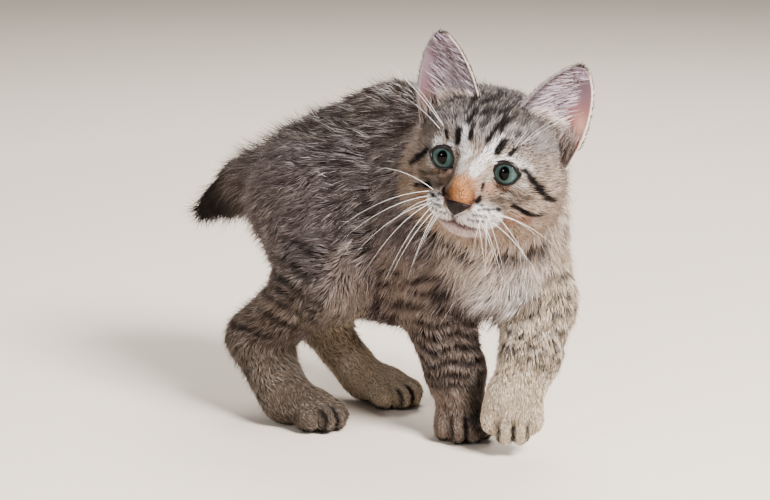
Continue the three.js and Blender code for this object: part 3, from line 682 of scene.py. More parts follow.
def head_colours(p, broken):
    """Colours of the head: dark crown, barred forehead, pale round the eyes, white muzzle and tan bridge."""
    q = in_head(p)
    pair = as_pair(q)
    side, back, up = pair.T
    tint = plain(CHEEK, len(p))
    tint = mix(tint, FOREHEAD, smooth_step(up + 0.15 * back, 6, 17))
    temple = smooth_step(side, 20, 28) * smooth_step(up, -6, 4)
    tint = mix(tint, FOREHEAD, temple * smooth_step(broken, -0.8, 0.9) * 0.6)
    tint = mix(tint, CROWN, smooth_step(up + 0.25 * back, 20, 27) * 0.8)
    tint = mix(tint, FLANK, smooth_step(back, 4, 22) * 0.7)
    around_eye = np.linalg.norm(pair - EYE, axis=1) - EYE_RADIUS
    glow = smooth_step(-around_eye - 1.2 * broken, -4.5, -0.5)
    tint = mix(tint, WHITE, glow * (0.3 + 0.4 * smooth_step(up, 6, 12)))
    brow = chain(pair, BROW, 2.4) + 0.9 * broken
    tint = mix(tint, WHITE, smooth_step(-brow, -1.8, 1.0) * 0.75)
    peach = ellipsoid(pair, (13.5, -29, -3.2), (6, 6, 2.6))
    tint = mix(tint, PEACH, smooth_step(-peach, -1.5, 1) * 0.6)
    russet = ellipsoid(pair, (23, -21, -18), (7.5, 9, 4)) + broken
    tint = mix(tint, RUSSET, smooth_step(-russet, -2.5, 1.5) * 0.6)
    under_eye = ellipsoid(pair, (18.5, -26, -7.3), (11.5, 10.5, 4.6)) + 0.9 * broken
    stripes = np.cos((up + 0.25 * side) * (2 * math.pi / 3.4) + broken)
    tint = mix(tint, UNDER_EYE, smooth_step(-under_eye, -1.8, 1.2) * (0.66 + 0.26 * stripes))
    muzzle = ellipsoid(pair, (8, -36, -16.5), (13, 14, 7.5))
    tint = mix(tint, WHITE, smooth_step(-muzzle, -2.5, 1.5))
    chin = ellipsoid(pair, (0, -27, -26), (13, 15, 7))
    tint = mix(tint, CHIN, smooth_step(-chin, -2, 2) * 0.9)
    bridge = limb(q, (0, -34, 3), (0, -45, -6), (3, 8.4)) + 0.8 * broken
    tan = smooth_step(-bridge, -3.6, 2.2) * smooth_step(-up, -8, 2) * smooth_step(-back, 26, 35)
    tint = mix(tint, TAN, tan)
    flecks = smooth_step(ripple(p, 8, 14), -0.6, 1.6)
    tint = mix(tint, BRIDGE_BROWN, smooth_step(-bridge, -1, 2) * flecks * 0.45)
    # Painted shade down both sides of the nose bridge and just above the leather.
    flanks = smooth_step(side + 0.6 * broken, 3.8, 7) * smooth_step(-up, -1, 4)
    bridge_side_shade = flanks + 0.5 * smooth_step(-up, 5.5, 9)
    snout = smooth_step(-bridge, -2.2, 0.5) * smooth_step(-back, 33, 37)
    tint = mix(tint, BRIDGE_BROWN, snout * bridge_side_shade * 0.95)
    for lines, strength, raggedness in LINE_MARKS:
        for places, half_width in lines:
            line = chain(pair, places, half_width) + raggedness * broken
            tint = mix(tint, DARK, smooth_step(-line, -0.75, 0.3) * strength)
    for spot in PAD_SPOTS:
        near = np.linalg.norm(pair - np.asarray(spot, F), axis=1)
        tint = mix(tint, DARK, smooth_step(-near, -1.2, -0.7) * 0.85)
    mouth = -past_lips(q)
    tint = mix(tint, LIP, smooth_step(mouth, -3.0, 0) * 0.3 + smooth_step(mouth, -0.6, 0.3) * 0.6)
    rim = smooth_step(-past_lids(pair), -1.0, -0.3) * smooth_step(-back, 20, 23)
    return mix(tint, DARK, rim * smooth_step(-around_eye, -3, -1) * 0.8)


def markings(p, names):
    """Colour of the coat at each place on its surface, by the part that it belongs to."""
    wander = ripple(p, 26, 5)
    broken = ripple(p, 7, 6)
    tint = trunk_colours(p, names, wander, broken)
    leg = np.char.find(names, "leg") >= 0
    tint[leg] = paw_colours(leg_colours(p[leg], names[leg], wander[leg], broken[leg]), p[leg])
    thigh = (p[:, 1] > -18) & ((names == "trunk") | (np.char.find(names, "hind") >= 0))
    tint[thigh] = thigh_colours(tint[thigh], p[thigh], broken[thigh])
    tail = names == "tail"
    tint[tail] = tail_colours(p[tail], wander[tail])
    face = names == "head"
    tint[face] = head_colours(p[face], broken[face])
    return tint


# ---------------------------------------------------------------- pieces

def make_piece(name, corners, faces, material, stands_for=(), points=None, map_places=None):
    """A mesh from corners in millimetres and faces that all have as many corners, riding on the frame.
    points holds named values of the corners, three wide for a colour.
    map_places holds the place of each corner in the map."""
    mesh = bpy.data.meshes.new(name)
    faces = np.ascontiguousarray(faces, np.int32)
    sides = faces.shape[1]
    mesh.vertices.add(len(corners))
    mesh.vertices.foreach_set("co", (np.asarray(corners, F) * F(MM)).ravel())
    mesh.loops.add(faces.size)
    mesh.loops.foreach_set("vertex_index", faces.ravel())
    mesh.polygons.add(len(faces))
    mesh.polygons.foreach_set("loop_start", np.arange(0, faces.size, sides, dtype=np.int32))
    mesh.polygons.foreach_set("use_smooth", np.ones(len(faces), bool))
    for key, values in (points or {}).items():
        values = np.asarray(values, F)
        if values.ndim == 2:
            values = np.column_stack((values, np.ones(len(values), F)))
            mesh.attributes.new(key, "FLOAT_COLOR", "POINT").data.foreach_set("color", values.ravel())
        else:
            mesh.attributes.new(key, "FLOAT", "POINT").data.foreach_set("value", values)
    if map_places is not None:
        layer = mesh.uv_layers.new(name="OFBake")
        layer.uv.foreach_set("vector", np.asarray(map_places, F)[faces.ravel()].ravel())
    mesh.update(calc_edges=True)
    mesh.materials.append(material)
    thing = bpy.data.objects.new(name, mesh)
    bpy.context.scene.collection.objects.link(thing)
    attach(thing, "root")
    if stands_for:
        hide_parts(*stands_for)


def ring_faces(rings, around):
    """Triangles of a closed skin over a first pole, then rings of so many corners each, then a last pole."""
    j = np.arange(around)
    after = (j + 1) % around
    i = np.arange(rings - 1)[:, None] * around + 1
    a, b, c, d = i + j, i + after, i + around + after, i + around + j
    wall = np.concatenate((np.stack((a, b, c), -1).reshape(-1, 3), np.stack((a, c, d), -1).reshape(-1, 3)))
    last = (rings - 1) * around + 1
    first_cap = np.stack((np.zeros(around, int), 1 + after, 1 + j), -1)
    last_cap = np.stack((last + j, last + after, np.full(around, last + around)), -1)
    return np.concatenate((first_cap, wall, last_cap))


def tube_corners(path, radii, around, side):
    """Corners of tubes with a round section along paths: first pole, rings, last pole.
    path is tubes x stations x 3, radii tubes x stations, and side a vector across every tube."""
    way = unit(np.gradient(path, axis=1))
    across = unit(np.cross(way, side))
    upward = np.cross(across, way)
    angle = np.arange(around) * (2 * math.pi / around)
    ring = across[:, :, None] * np.cos(angle)[:, None] + upward[:, :, None] * np.sin(angle)[:, None]
    rings = path[:, :, None] + radii[:, :, None, None] * ring
    return np.concatenate((path[:, :1], rings.reshape(len(path), -1, 3), path[:, -1:]), 1)


# ---------------------------------------------------------------- materials

def shader(name, roughness, **sockets):
    """A material with one Principled BSDF, whose even values are set on its own sockets."""
    material = bpy.data.materials.new(name)
    material.use_nodes = True
    surface = material.node_tree.nodes["Principled BSDF"]
    surface.inputs["Roughness"].default_value = roughness
    for socket, value in sockets.items():
        surface.inputs[socket.replace("_", " ")].default_value = value
    return material, material.node_tree, surface


def attribute(tree, name, output="Fac"):
    """One of the piece's own attributes: a number, or a colour from its Color output."""
    node = tree.nodes.new("ShaderNodeAttribute")
    node.attribute_name = name
    return node.outputs[output]


def arithmetic(tree, operation, first, second=None, clamp=False):
    """A Math node of two numbers or sockets, and its output."""
    node = tree.nodes.new("ShaderNodeMath")
    node.operation = operation
    node.use_clamp = clamp
    for socket, value in zip(node.inputs, (first, second)):
        if isinstance(value, (int, float)):
            socket.default_value = value
        elif value is not None:
            tree.links.new(value, socket)
    return node.outputs[0]


def between(tree, share, first, second):
    """A Mix node of two colours or sockets, and its output."""
    node = tree.nodes.new("ShaderNodeMix")
    node.data_type = "RGBA"
    tree.links.new(share, node.inputs["Factor"])
    for socket, value in zip((node.inputs[6], node.inputs[7]), (first, second)):
        if isinstance(value, bpy.types.NodeSocket):
            tree.links.new(value, socket)
        else:
            socket.default_value = (*value, 1)
    return node.outputs[2]


def colour_ramp(tree, share, first, middle, last):
    """Colours from first to last, read at a share, with middle ones at places of their own."""
    node = tree.nodes.new("ShaderNodeValToRGB")
    stops = node.color_ramp.elements
    for place, tone in middle:
        stops.new(place).color = (*tone, 1)
    stops[0].color = (*first, 1)
    stops[-1].color = (*last, 1)
    tree.links.new(share, node.inputs["Fac"])
    return node.outputs["Color"]


def as_vector(tree, *parts):
    """A vector of two or three sockets."""
    node = tree.nodes.new("ShaderNodeCombineXYZ")
    for socket, value in zip(node.inputs, parts):
        tree.links.new(value, socket)
    return node.outputs[0]


def noise_over(tree, vector, scale=1.0, detail=2.0):
    """Noise over a vector, with features about 1 / scale across."""
    noise = tree.nodes.new("ShaderNodeTexNoise")
    noise.inputs["Scale"].default_value = scale
    noise.inputs["Detail"].default_value = detail
    tree.links.new(vector, noise.inputs["Vector"])
    return noise.outputs["Fac"]


def object_place(tree):
    """Places in the object's own coordinates, in metres."""
    return tree.nodes.new("ShaderNodeTexCoord").outputs["Object"]


def add_bump(tree, surface, height, strength, depth):
    """Fine relief on a material, as deep in metres as depth says where the height goes from 0 to 1."""
    bump = tree.nodes.new("ShaderNodeBump")
    bump.inputs["Strength"].default_value = strength
    bump.inputs["Distance"].default_value = depth
    tree.links.new(height, bump.inputs["Height"])
    tree.links.new(bump.outputs["Normal"], surface.inputs["Normal"])


# Shares of the coat's colour along a hair: painted shade, darkest at the root deep in the coat, lifting to
# about full colour toward the tip.
ROOT_SHADE = (0.34, 0.34, 0.34)
HAIR_SHADES = ((0.45, (0.88, 0.88, 0.88)), (0.8, (1.06, 1.06, 1.06)))   # each with its share of the length
TIP_SHADE = (1.0, 0.99, 0.98)
STREAKS_ACROSS = 2.6           # how fine the streaks are from strand to strand
STREAKS_ALONG = 1.6            # and along a hair
STREAK_STRENGTH = 2.6
STREAK_DARKEST = 0.25


def make_coat_group():
    """Group that shades a coat colour: painted shade at a hair's root, full in the middle, and streaked
    and banded by noise over the strand and the place along it, as strongly as the ticking says."""
    group = bpy.data.node_groups.new("hair_shading", "ShaderNodeTree")
    for name, kind, direction in (
        ("Tint", "NodeSocketColor", "INPUT"),
        ("Along", "NodeSocketFloat", "INPUT"),
        ("Strand", "NodeSocketFloat", "INPUT"),
        ("Ticking", "NodeSocketFloat", "INPUT"),
        ("Colour", "NodeSocketColor", "OUTPUT"),
    ):
        group.interface.new_socket(name=name, in_out=direction, socket_type=kind)
    source = group.nodes.new("NodeGroupInput").outputs
    result = group.nodes.new("NodeGroupOutput").inputs
    lengthwise = colour_ramp(group, source["Along"], ROOT_SHADE, HAIR_SHADES, TIP_SHADE)
    place = as_vector(
        group,
        arithmetic(group, "MULTIPLY", source["Strand"], STREAKS_ACROSS),
        arithmetic(group, "MULTIPLY", source["Along"], STREAKS_ALONG),
    )
    streak = arithmetic(group, "SUBTRACT", noise_over(group, place, detail=1.0), 0.5)
    streak = arithmetic(group, "MULTIPLY", streak, source["Ticking"])
    streak = arithmetic(group, "MULTIPLY", streak, STREAK_STRENGTH)
    streak = arithmetic(group, "MAXIMUM", arithmetic(group, "ADD", streak, 1.0), STREAK_DARKEST)
    toned = group.nodes.new("ShaderNodeVectorMath")
    toned.operation = "SCALE"
    group.links.new(source["Tint"], toned.inputs[0])
    group.links.new(arithmetic(group, "MULTIPLY", lengthwise, streak), toned.inputs["Scale"])
    group.links.new(toned.outputs[0], result["Colour"])
    return group


hair_shading = make_coat_group()


def shade_hair(tree, surface, along, strand, ticking):
    """Feeds the coat's colour, shaded along and across the hair, to a material.
    Each of along, strand and ticking is a number or a socket."""
    node = tree.nodes.new("ShaderNodeGroup")
    node.node_tree = hair_shading
    tree.links.new(attribute(tree, "tint", "Color"), node.inputs["Tint"])
    for name, value in (("Along", along), ("Strand", strand), ("Ticking", ticking)):
        if isinstance(value, float):
            node.inputs[name].default_value = value
        else:
            tree.links.new(value, node.inputs[name])
    tree.links.new(node.outputs["Colour"], surface.inputs["Base Color"])


def fur_material():
    """Soft hair, almost matt."""
    material, tree, surface = shader("fur", 0.6, Specular_IOR_Level=0.1)
    shade_hair(tree, surface, *(attribute(tree, name) for name in ("along", "strand", "ticking")))
    return material


def skin_material():
    """Skin under the fur, in the coat's own colours, with a stubble of fine bumps."""
    material, tree, surface = shader("skin", 0.7, Specular_IOR_Level=0.25)
    stubble = arithmetic(tree, "MULTIPLY", noise_over(tree, object_place(tree), 900), 30.0)
    # Read near a hair's root, the skin's colour carries the coat's painted root shade.
    shade_hair(tree, surface, 0.15, stubble, 0.35)
    add_bump(tree, surface, noise_over(tree, object_place(tree), 1400), 0.5, 0.0003)
    return material


def ear_material():
    """Bare, warm skin inside the ear, faintly mottled, with a soft shine."""
    material, tree, surface = shader("ear_skin", 0.55, Specular_IOR_Level=0.35, Subsurface_Weight=0.15)
    surface.inputs["Subsurface Radius"].default_value = (0.004, 0.0015, 0.001)
    mottle = arithmetic(tree, "MULTIPLY", noise_over(tree, object_place(tree), 160), 3.0)
    shade_hair(tree, surface, 0.6, mottle, 0.12)
    add_bump(tree, surface, noise_over(tree, object_place(tree), 500), 0.3, 0.0003)
    return material


def leather_material():
    """Moist, pebbled nose leather, almost black with a brown cast."""
    material, tree, surface = shader("nose_leather", 0.4, Specular_IOR_Level=0.12)
    tree.links.new(attribute(tree, "tint", "Color"), surface.inputs["Base Color"])
    pebbles = tree.nodes.new("ShaderNodeTexVoronoi")
    pebbles.inputs["Scale"].default_value = 1700
    tree.links.new(object_place(tree), pebbles.inputs["Vector"])
    add_bump(tree, surface, pebbles.outputs["Distance"], 0.6, 0.0002)
    return material


def rim_material():
    """Dark, moist edge of the lids."""
    material, tree, surface = shader("lid_rim", 0.3, Specular_IOR_Level=0.2)
    shade = between(tree, noise_over(tree, object_place(tree), 600), colour(9, 6, 6), colour(24, 16, 15))
    tree.links.new(shade, surface.inputs["Base Color"])
    return material


DUSKY_ROOT = 0.04              # share of a whisker's length


def whisker_material():
    """Smooth white whiskers, dusky at the root."""
    material, tree, surface = shader("whisker", 0.4, Specular_IOR_Level=0.5)
    root = arithmetic(tree, "LESS_THAN", attribute(tree, "along"), DUSKY_ROOT)
    shade = between(tree, root, colour(244, 242, 240), colour(120, 104, 96))
    tree.links.new(shade, surface.inputs["Base Color"])
    return material


PUPIL = (0.40, 0.54)           # half width and half height of the pupil, as shares of the iris's radius
IRIS_RADIUS = 5.9
IRIS_MIDDLE = colour(64, 74, 58)
IRIS_RINGS = ((0.5, colour(48, 66, 62)), (0.72, colour(80, 98, 95)), (0.9, colour(50, 68, 67)))
IRIS_EDGE = colour(34, 48, 48)
IRIS_RAY = colour(40, 58, 54)
LID_SHADOW = colour(14, 20, 20)
SCLERA = colour(52, 38, 34)
PUPIL_BLACK = colour(1, 1, 2)
RAYS_ROUND = 9.0               # how fine the iris's rays are round the pupil
RAYS_OUTWARD = 2.5             # and from it outward
RAY_STRENGTH = 0.7
IRIS_END = 0.97                # where the iris starts to give way, as a share of its radius


def oval(tree, across, upward, half_width, half_height):
    """Distance from the middle of the eye, as a share of how far an oval reaches that way."""
    total = None
    for value, reach in ((across, half_width), (upward, half_height)):
        share = arithmetic(tree, "DIVIDE", value, reach)
        square = arithmetic(tree, "MULTIPLY", share, share)
        total = square if total is None else arithmetic(tree, "ADD", total, square)
    return arithmetic(tree, "SQRT", total)


def eye_material():
    """A green iris with fine rays, a dark edge and an upright oval pupil, under a clear wet coat."""
    wet = dict(Coat_Weight=1.0, Coat_Roughness=0.01, Coat_IOR=1.2)
    material, tree, surface = shader("eye", 0.5, Specular_IOR_Level=0.0, **wet)
    across = attribute(tree, "across")
    upward = attribute(tree, "upward")
    radius = oval(tree, across, upward, 1.0, 1.0)
    turn = arithmetic(tree, "ARCTAN2", upward, across)
    spokes = as_vector(
        tree,
        arithmetic(tree, "MULTIPLY", arithmetic(tree, "COSINE", turn), RAYS_ROUND),
        arithmetic(tree, "MULTIPLY", arithmetic(tree, "SINE", turn), RAYS_ROUND),
        arithmetic(tree, "MULTIPLY", radius, RAYS_OUTWARD),
    )
    rays = arithmetic(tree, "MULTIPLY", noise_over(tree, spokes, detail=3.0), RAY_STRENGTH)
    iris = colour_ramp(tree, radius, IRIS_MIDDLE, IRIS_RINGS, IRIS_EDGE)
    shade = between(tree, rays, iris, IRIS_RAY)
    shaded = arithmetic(tree, "ADD", arithmetic(tree, "MULTIPLY", upward, 0.55), 0.12, clamp=True)
    shade = between(tree, shaded, shade, LID_SHADOW)
    past_iris = arithmetic(tree, "SUBTRACT", radius, IRIS_END)
    shade = between(tree, arithmetic(tree, "MULTIPLY", past_iris, 14.0, clamp=True), shade, SCLERA)
    pupil = oval(tree, across, upward, *PUPIL)
    hole = arithmetic(tree, "MULTIPLY", arithmetic(tree, "SUBTRACT", 1.04, pupil), 10.0, clamp=True)
    shade = between(tree, hole, shade, PUPIL_BLACK)
    tree.links.new(shade, surface.inputs["Base Color"])
    return material


def floor_material():
    """Plain pale floor, faintly uneven."""
    material, tree, surface = shader("floor", 0.8, Specular_IOR_Level=0.2)
    clouds = noise_over(tree, object_place(tree), 3)
    shade = between(tree, clouds, colour(226, 212, 196), colour(232, 219, 204))
    tree.links.new(shade, surface.inputs["Base Color"])
    return material


FUR = fur_material()
SKIN = skin_material()
EAR_BARE = ear_material()
LEATHER = leather_material()
RIM = rim_material()
WHISKER = whisker_material()
EYEBALL = eye_material()


# ---------------------------------------------------------------- skin piece

SKIN_CELL = 1.15
FLESH = [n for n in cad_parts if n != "nose" and not n.startswith(("eye_", "ear_"))]
MARGIN = 6                     # room round the frame in which the skin is looked for
CROWN_TOP = 0.92               # share of the height that it reaches, since the ears are pieces of their own
SKIN_SOLE = 0.4                # height of the lowest skin
FUR_SOLE = 0.35                # height of the lowest fur
BARE_SOLE = 1.0                # height up to which nothing grows

skin_corners, skin_faces = level_surface(
    skin,
    np.array(cad_box[0]) / MM - MARGIN,
    (np.array(cad_box[1]) / MM + MARGIN) * np.array((1, 1, CROWN_TOP)),
    SKIN_CELL,
)
skin_corners = settle(skin, skin_corners, 0, 1)[0]
skin_corners[:, 2] = np.maximum(skin_corners[:, 2], SKIN_SOLE)
skin_way, skin_depth, skin_length, skin_names = lie_of_coat(skin_corners)
skin_tint = markings(settle(coat_surface, skin_corners, 0, 1)[0], skin_names)


# The bake's map of each part is laid on the part's own shape: round the trunk and along it, round each leg
# and down it, and all round the head. Each line has a start, an end, and two places across the map.
MAP_LINES = {
    "trunk": ((10, -110, 112), (8, 95, 108), 0.01, 0.99),
    "chest": ((2, -66, 160), (6, -62, 60), 0.01, 0.99),
    "tail": ((8, 60, 122), (-4, 128, 92), 0.01, 0.99),
    "foreleg_right": ((-4, -40, 118), (1.7, -54, -2), 0.01, 0.49),
    "foreleg_left": ((32, -66, 118), (-4, -88, -2), 0.51, 0.99),
    "hindleg_right": ((-22, 30, 140), (-32, 34, -2), 0.01, 0.49),
    "hindleg_left": ((28, 32, 140), (22, 34, -2), 0.51, 0.99),
}
MAP_EDGE = 0.01                # share of the map left free along its edge
MAP_SPAN = 0.98


def round_and_along(p, start, end, first, last):
    """Turn round a line and share of the way along it, the turn laid from first to last across the map."""
    start, end = np.asarray(start, F), np.asarray(end, F)
    way = unit(end - start)
    aslant = (0.3, 0.2, 1.0) if abs(way[2]) < 0.8 else (1.0, 0.2, 0.1)
    side = unit(np.cross(way, np.array(aslant)))
    other = np.cross(way, side)
    turn = np.arctan2((p - start) @ other, (p - start) @ side) / (2 * math.pi) + 0.5
    share = (p - start) @ way / np.linalg.norm(end - start)
    return np.stack((first + turn * (last - first), np.clip(share, 0, 1)), 1)


def coat_map(p, names):
    """Place of each root on the unwrap of its part."""
    left, back, up = in_head(p).T
    turn = np.arctan2(left, -back) / (2 * math.pi) + 0.5
    rise = np.arctan2(up, np.hypot(left, back)) / math.pi + 0.5
    places = np.stack((turn, rise), 1)
    for name, line in MAP_LINES.items():
        places = np.where((names == name)[:, None], round_and_along(p, *line), places)
    return MAP_EDGE + MAP_SPAN * places


make_piece("skin", skin_corners, skin_faces, SKIN, FLESH, dict(tint=skin_tint))


# ---------------------------------------------------------------- tufts

# For each part: tufts to a square centimetre of skin, the width of one at its root, and how far single hairs
# stray from the coat's colour.
TUFTS = {
    "trunk": (128, 0.72, 1.15),
    "chest": (150, 0.7, 0.9),
    "tail": (200, 0.7, 0.7),
    "foreleg_right": (200, 0.57, 0.5),
    "foreleg_left": (200, 0.57, 1.0),
    "hindleg_right": (166, 0.62, 0.6),
    "hindleg_left": (132, 0.68, 0.4),
    "head": (330, 0.48, 0.6),
}
STRAYS = 0.2                   # share of the tufts that stand off the rest
STRAYS_BEHIND = 1.3            # how many more there are behind the rump and the hocks, as a share
STRAY_LIFT = 0.36              # share of its length by which the tip of a full stray is raised
STRAY_WIDTH = 0.55             # width of one, as a share of another tuft's
LOCK = 2.4                     # width of a lock, whose tufts lean together
LOCK_ON_LEG = 1.7
LOCK_ON_HEAD = 1.4
LOCK_PULL = 0.55               # how far the tips in a lock are drawn together
LOCK_PULL_ON_HEAD = 0.35
BEND = 0.62                    # share of the coat's depth at which a tuft bends
SHORT = 5.0                    # tufts shorter than this are straight

# Corners of a tuft's triangles: a ring of three at its root, another where a long one bends, and its point.
LONG_TUFT = np.array((
    (0, 2, 1), (0, 1, 4), (0, 4, 3), (1, 2, 5), (1, 5, 4),
    (2, 0, 3), (2, 3, 5), (3, 4, 6), (4, 5, 6), (5, 3, 6),
))
SHORT_TUFT = np.array(((0, 2, 1), (0, 1, 3), (1, 2, 3), (2, 0, 3)))
FLATNESS = 0.55                # thickness of a tuft, as a share of its width
WAIST = 0.8                    # width where it bends, as a share of that at its root
PATCH = 0.0015                 # half the side of a tuft's patch in the map
STRANDS = 60                   # range of the strand numbers, which give each tuft streaks of its own
STRAND_TURN = 0.5              # how far the number changes from the middle of a tuft to its sides
LOCK_WARP = 0.45               # how far noise bends the edges of a lock, as a share of its width
PALER = 0.55                   # how far chance takes a tuft toward PALE
DARKER = 0.5                   # and toward DARK


def tuft_mesh(spine, normal, width, tint, ticking, places):
    """Tufts as three-sided spikes: a ring at the root, a narrower one at each middle station, and a point.
    spine and tint are tufts x stations x 3. Gives corners, triangles, named values and places in the map."""
    bends = spine.shape[1] - 1
    way = unit(spine[:, 1:] - spine[:, :-1])
    across = unit(np.cross(way, normal[:, None]))
    upward = FLATNESS * np.cross(across, way)
    angle = np.radians((210, 330, 90))
    spokes = across[:, :, None] * np.cos(angle)[:, None] + upward[:, :, None] * np.sin(angle)[:, None]
    half = (width[:, None] * np.array((1, WAIST))[:bends])[:, :, None, None] / 2
    rings = spine[:, :-1, None] + spokes * half
    corners = np.concatenate((rings.reshape(len(spine), bends * 3, 3), spine[:, -1:]), 1)
    each = corners.shape[1]
    triangles = LONG_TUFT if bends == 2 else SHORT_TUFT
    faces = (np.arange(len(spine))[:, None, None] * each + triangles).reshape(-1, 3)
    stations = np.append(np.repeat(np.arange(bends) / bends, 3), 1)
    sides = np.append(np.tile((-1, 1, 0), bends), 0)
    patch = PATCH * np.stack((sides * (1 - stations), 2 * stations - 1), 1)
    map_places = np.clip(places[:, None] + patch, 0.001, 0.999).reshape(-1, 2)
    strand = rng.uniform(0, STRANDS, (len(spine), 1)) + STRAND_TURN * sides
    values = dict(
        tint=np.repeat(tint, [3] * bends + [1], axis=1).reshape(-1, 3),
        along=np.tile(stations, len(spine)),
        strand=strand.ravel(),
        ticking=np.repeat(ticking, each),
    )
    return corners.reshape(-1, 3), faces, values, map_places


def lock_of(roots, names):
    """Number of each tuft's lock: the lock fills a cell of a grid whose planes are bent by slow noise."""
    on_leg = np.char.find(names, "leg") >= 0
    size = np.where(names == "head", LOCK_ON_HEAD, np.where(on_leg, LOCK_ON_LEG, LOCK))[:, None]
    warped = roots + LOCK_WARP * size * np.stack([ripple(roots, 9, seed) for seed in (41, 42, 43)], 1)
    cells = np.column_stack((np.floor(warped / size).astype(int), names == "head"))
    return np.unique(cells, axis=0, return_inverse=True)[1].ravel()


def gather(values, lock):
    """Mean place over each tuft's lock."""
    count = np.bincount(lock)
    return np.stack([np.bincount(lock, values[:, axis]) / count for axis in range(3)], 1)[lock]


def lay_on_coat(roots, names, way, depth, length, stray):
    """Spines that rise from their roots to the coat's surface, and bend on the way.
    Each stretch runs along the coat's lie, turned aside by noise and chance, then settles at its own depth.
    Hairs at the tail's end run free, strays stand off the rest, and tips in a lock are drawn together."""
    on_head = names == "head"
    _, normal = settle(coat_surface, roots, -depth, 1)
    aside = 0.36 * ripple(roots, 17, 21) + 0.2 * ripple(roots, 5, 22) + rng.normal(0, 0.14, len(roots))
    aside = aside * np.where(on_head, 0.5, 1)
    loft = np.clip(1.0 + 0.16 * rng.normal(size=len(roots)) + 0.12 * ripple(roots, 9, 23), 0.45, 1.6)
    flat = unit(way - (way * normal).sum(1, keepdims=True) * normal)
    flat = unit(flat + np.cross(normal, flat) * aside[:, None])
    run = np.sqrt(np.maximum(length ** 2 - depth ** 2, 1))[:, None]
    middle = roots + flat * run * 0.45 + normal * depth[:, None] * 0.6
    middle, normal_there = settle(coat_surface, middle, -depth * (1 - BEND * loft), 1)
    flat = unit(flat - (flat * normal_there).sum(1, keepdims=True) * normal_there)
    scatter = rng.normal(0, 0.27, (len(roots), 3))
    free_way = unit(0.6 * flat + 0.6 * unit(way) + scatter)
    free = middle + free_way * run * rng.uniform(0.45, 0.95, (len(roots), 1))
    tip = middle + flat * run * 0.55 + normal_there * depth[:, None] * 0.3
    tip, _ = settle(coat_surface, tip, -depth * (1 - loft) - 0.3, 1)
    brush = (names == "tail") * smooth_step(roots[:, 1], 76, 102)
    pull = np.where(on_head, LOCK_PULL_ON_HEAD, LOCK_PULL)[:, None] * (stray[:, None] == 0)
    lock = lock_of(roots, names)
    tip = tip + (gather(tip, lock) - tip) * pull
    middle = middle + (gather(middle, lock) - middle) * pull * 0.4
    lifted = tip + normal_there * (STRAY_LIFT * length * stray)[:, None]
    tip = lifted + (free - lifted) * brush[:, None]
    return np.stack((roots, middle, tip), 1), normal


def tones(tint, tone):
    """Colours made paler where the tone is above 0, but for the dark marks, and darker where it's below."""
    paler = mix(tint, PALE, np.maximum(tone, 0) * PALER * smooth_step(tint.mean(1), 0.01, 0.06))
    return mix(paler, DARK, np.maximum(-tone, 0) * DARKER)


SQUARE_CM = 100                # square millimetres in one


def sow(faces, density):
    """Even draw of roots over the skin's faces, by area and density: the corners round each root, and their
    shares in its place."""
    a, b, c = (skin_corners[faces[:, i]] for i in range(3))
    area = np.linalg.norm(np.cross(b - a, c - a), axis=1) / 2 / SQUARE_CM
    heap = np.cumsum(area * density)
    drawn = np.arange(int(heap[-1])) + rng.uniform(0, 1, int(heap[-1]))
    chosen = np.minimum(np.searchsorted(heap, drawn), len(faces) - 1)
    first, second = rng.uniform(0, 1, (2, len(chosen)))
    fold = first + second > 1
    first, second = np.where(fold, 1 - first, first), np.where(fold, 1 - second, second)
    return faces[chosen], np.stack((1 - first - second, first, second), 1).astype(F)


def carry(values, corner_sets, shares):
    """Values of the skin's corners carried over to the roots."""
    if values.ndim == 1:
        return (values[corner_sets] * shares).sum(1)
    return (values[corner_sets] * shares[:, :, None]).sum(1)


def look_up(names):
    """Density, width and ticking of the tufts for each part's name."""
    values = np.zeros((3, len(names)))
    for name, row in TUFTS.items():
        values[:, names == name] = np.array(row)[:, None]
    return values


def clear_of_face(q, leather_back, room, lip_room):
    """Whether head places keep clear of the eyes, the nose leather and the mouth, seen from the front."""
    on_lids = (q[:, 1] < FACE_BACK) & (past_lids(as_pair(q)) < room)
    on_leather = (q[:, 1] < leather_back) & (past_leather(q) < room)
    return ~on_lids & ~on_leather & (past_lips(q) > lip_room)


def calmed(ticking, q, on_head, length):
    """Ticking made fainter on the white muzzle, on the bridge of the nose and in short fur on the body."""
    muzzle = smooth_step(-ellipsoid(as_pair(q), (8, -36, -14), (14, 15, 9)), -3, 1)
    bridge = on_head * smooth_step(-np.linalg.norm(q - NOSE_TIP, axis=1), -16, -9)
    body = np.where(on_head, 1, 0.55 + 0.45 * smooth_step(length, 3, 9))
    return ticking * (1 - 0.65 * muzzle) * (1 - 0.7 * bridge) * body


# Roots are drawn over the skin, closest together round the nose. The lids, the nose leather, the lips and
# the soles stay bare.
halves = np.concatenate((skin_faces[:, (0, 1, 2)], skin_faces[:, (0, 2, 3)]))
face_names = skin_names[halves[:, 0]]
density = look_up(face_names)[0]
far_from_nose = smooth_step(np.linalg.norm(in_head(skin_corners[halves[:, 0]]) - NOSE_TIP, axis=1), 8, 40)
density = np.where(face_names == "head", density * (1.9 - 1.0 * far_from_nose), density)
corner_sets, corner_shares = sow(halves, density)
roots = carry(skin_corners, corner_sets, corner_shares)
keep = clear_of_face(in_head(roots), LEATHER_BACK, 0.5, 0.1) & (roots[:, 2] > BARE_SOLE)
corner_sets, corner_shares, roots = corner_sets[keep], corner_shares[keep], roots[keep]

root_names = skin_names[corner_sets[:, 0]]
on_head = root_names == "head"
root_way, root_depth, root_length = (
    carry(values, corner_sets, corner_shares) for values in (skin_way, skin_depth, skin_length)
)
root_length = root_length * rng.uniform(0.8, 1.2, len(roots)).astype(F)
_, root_width, root_ticking = look_up(root_names)
root_width = root_width * rng.uniform(0.75, 1.25, len(roots))
root_ticking = calmed(root_ticking, in_head(roots), on_head, root_length)

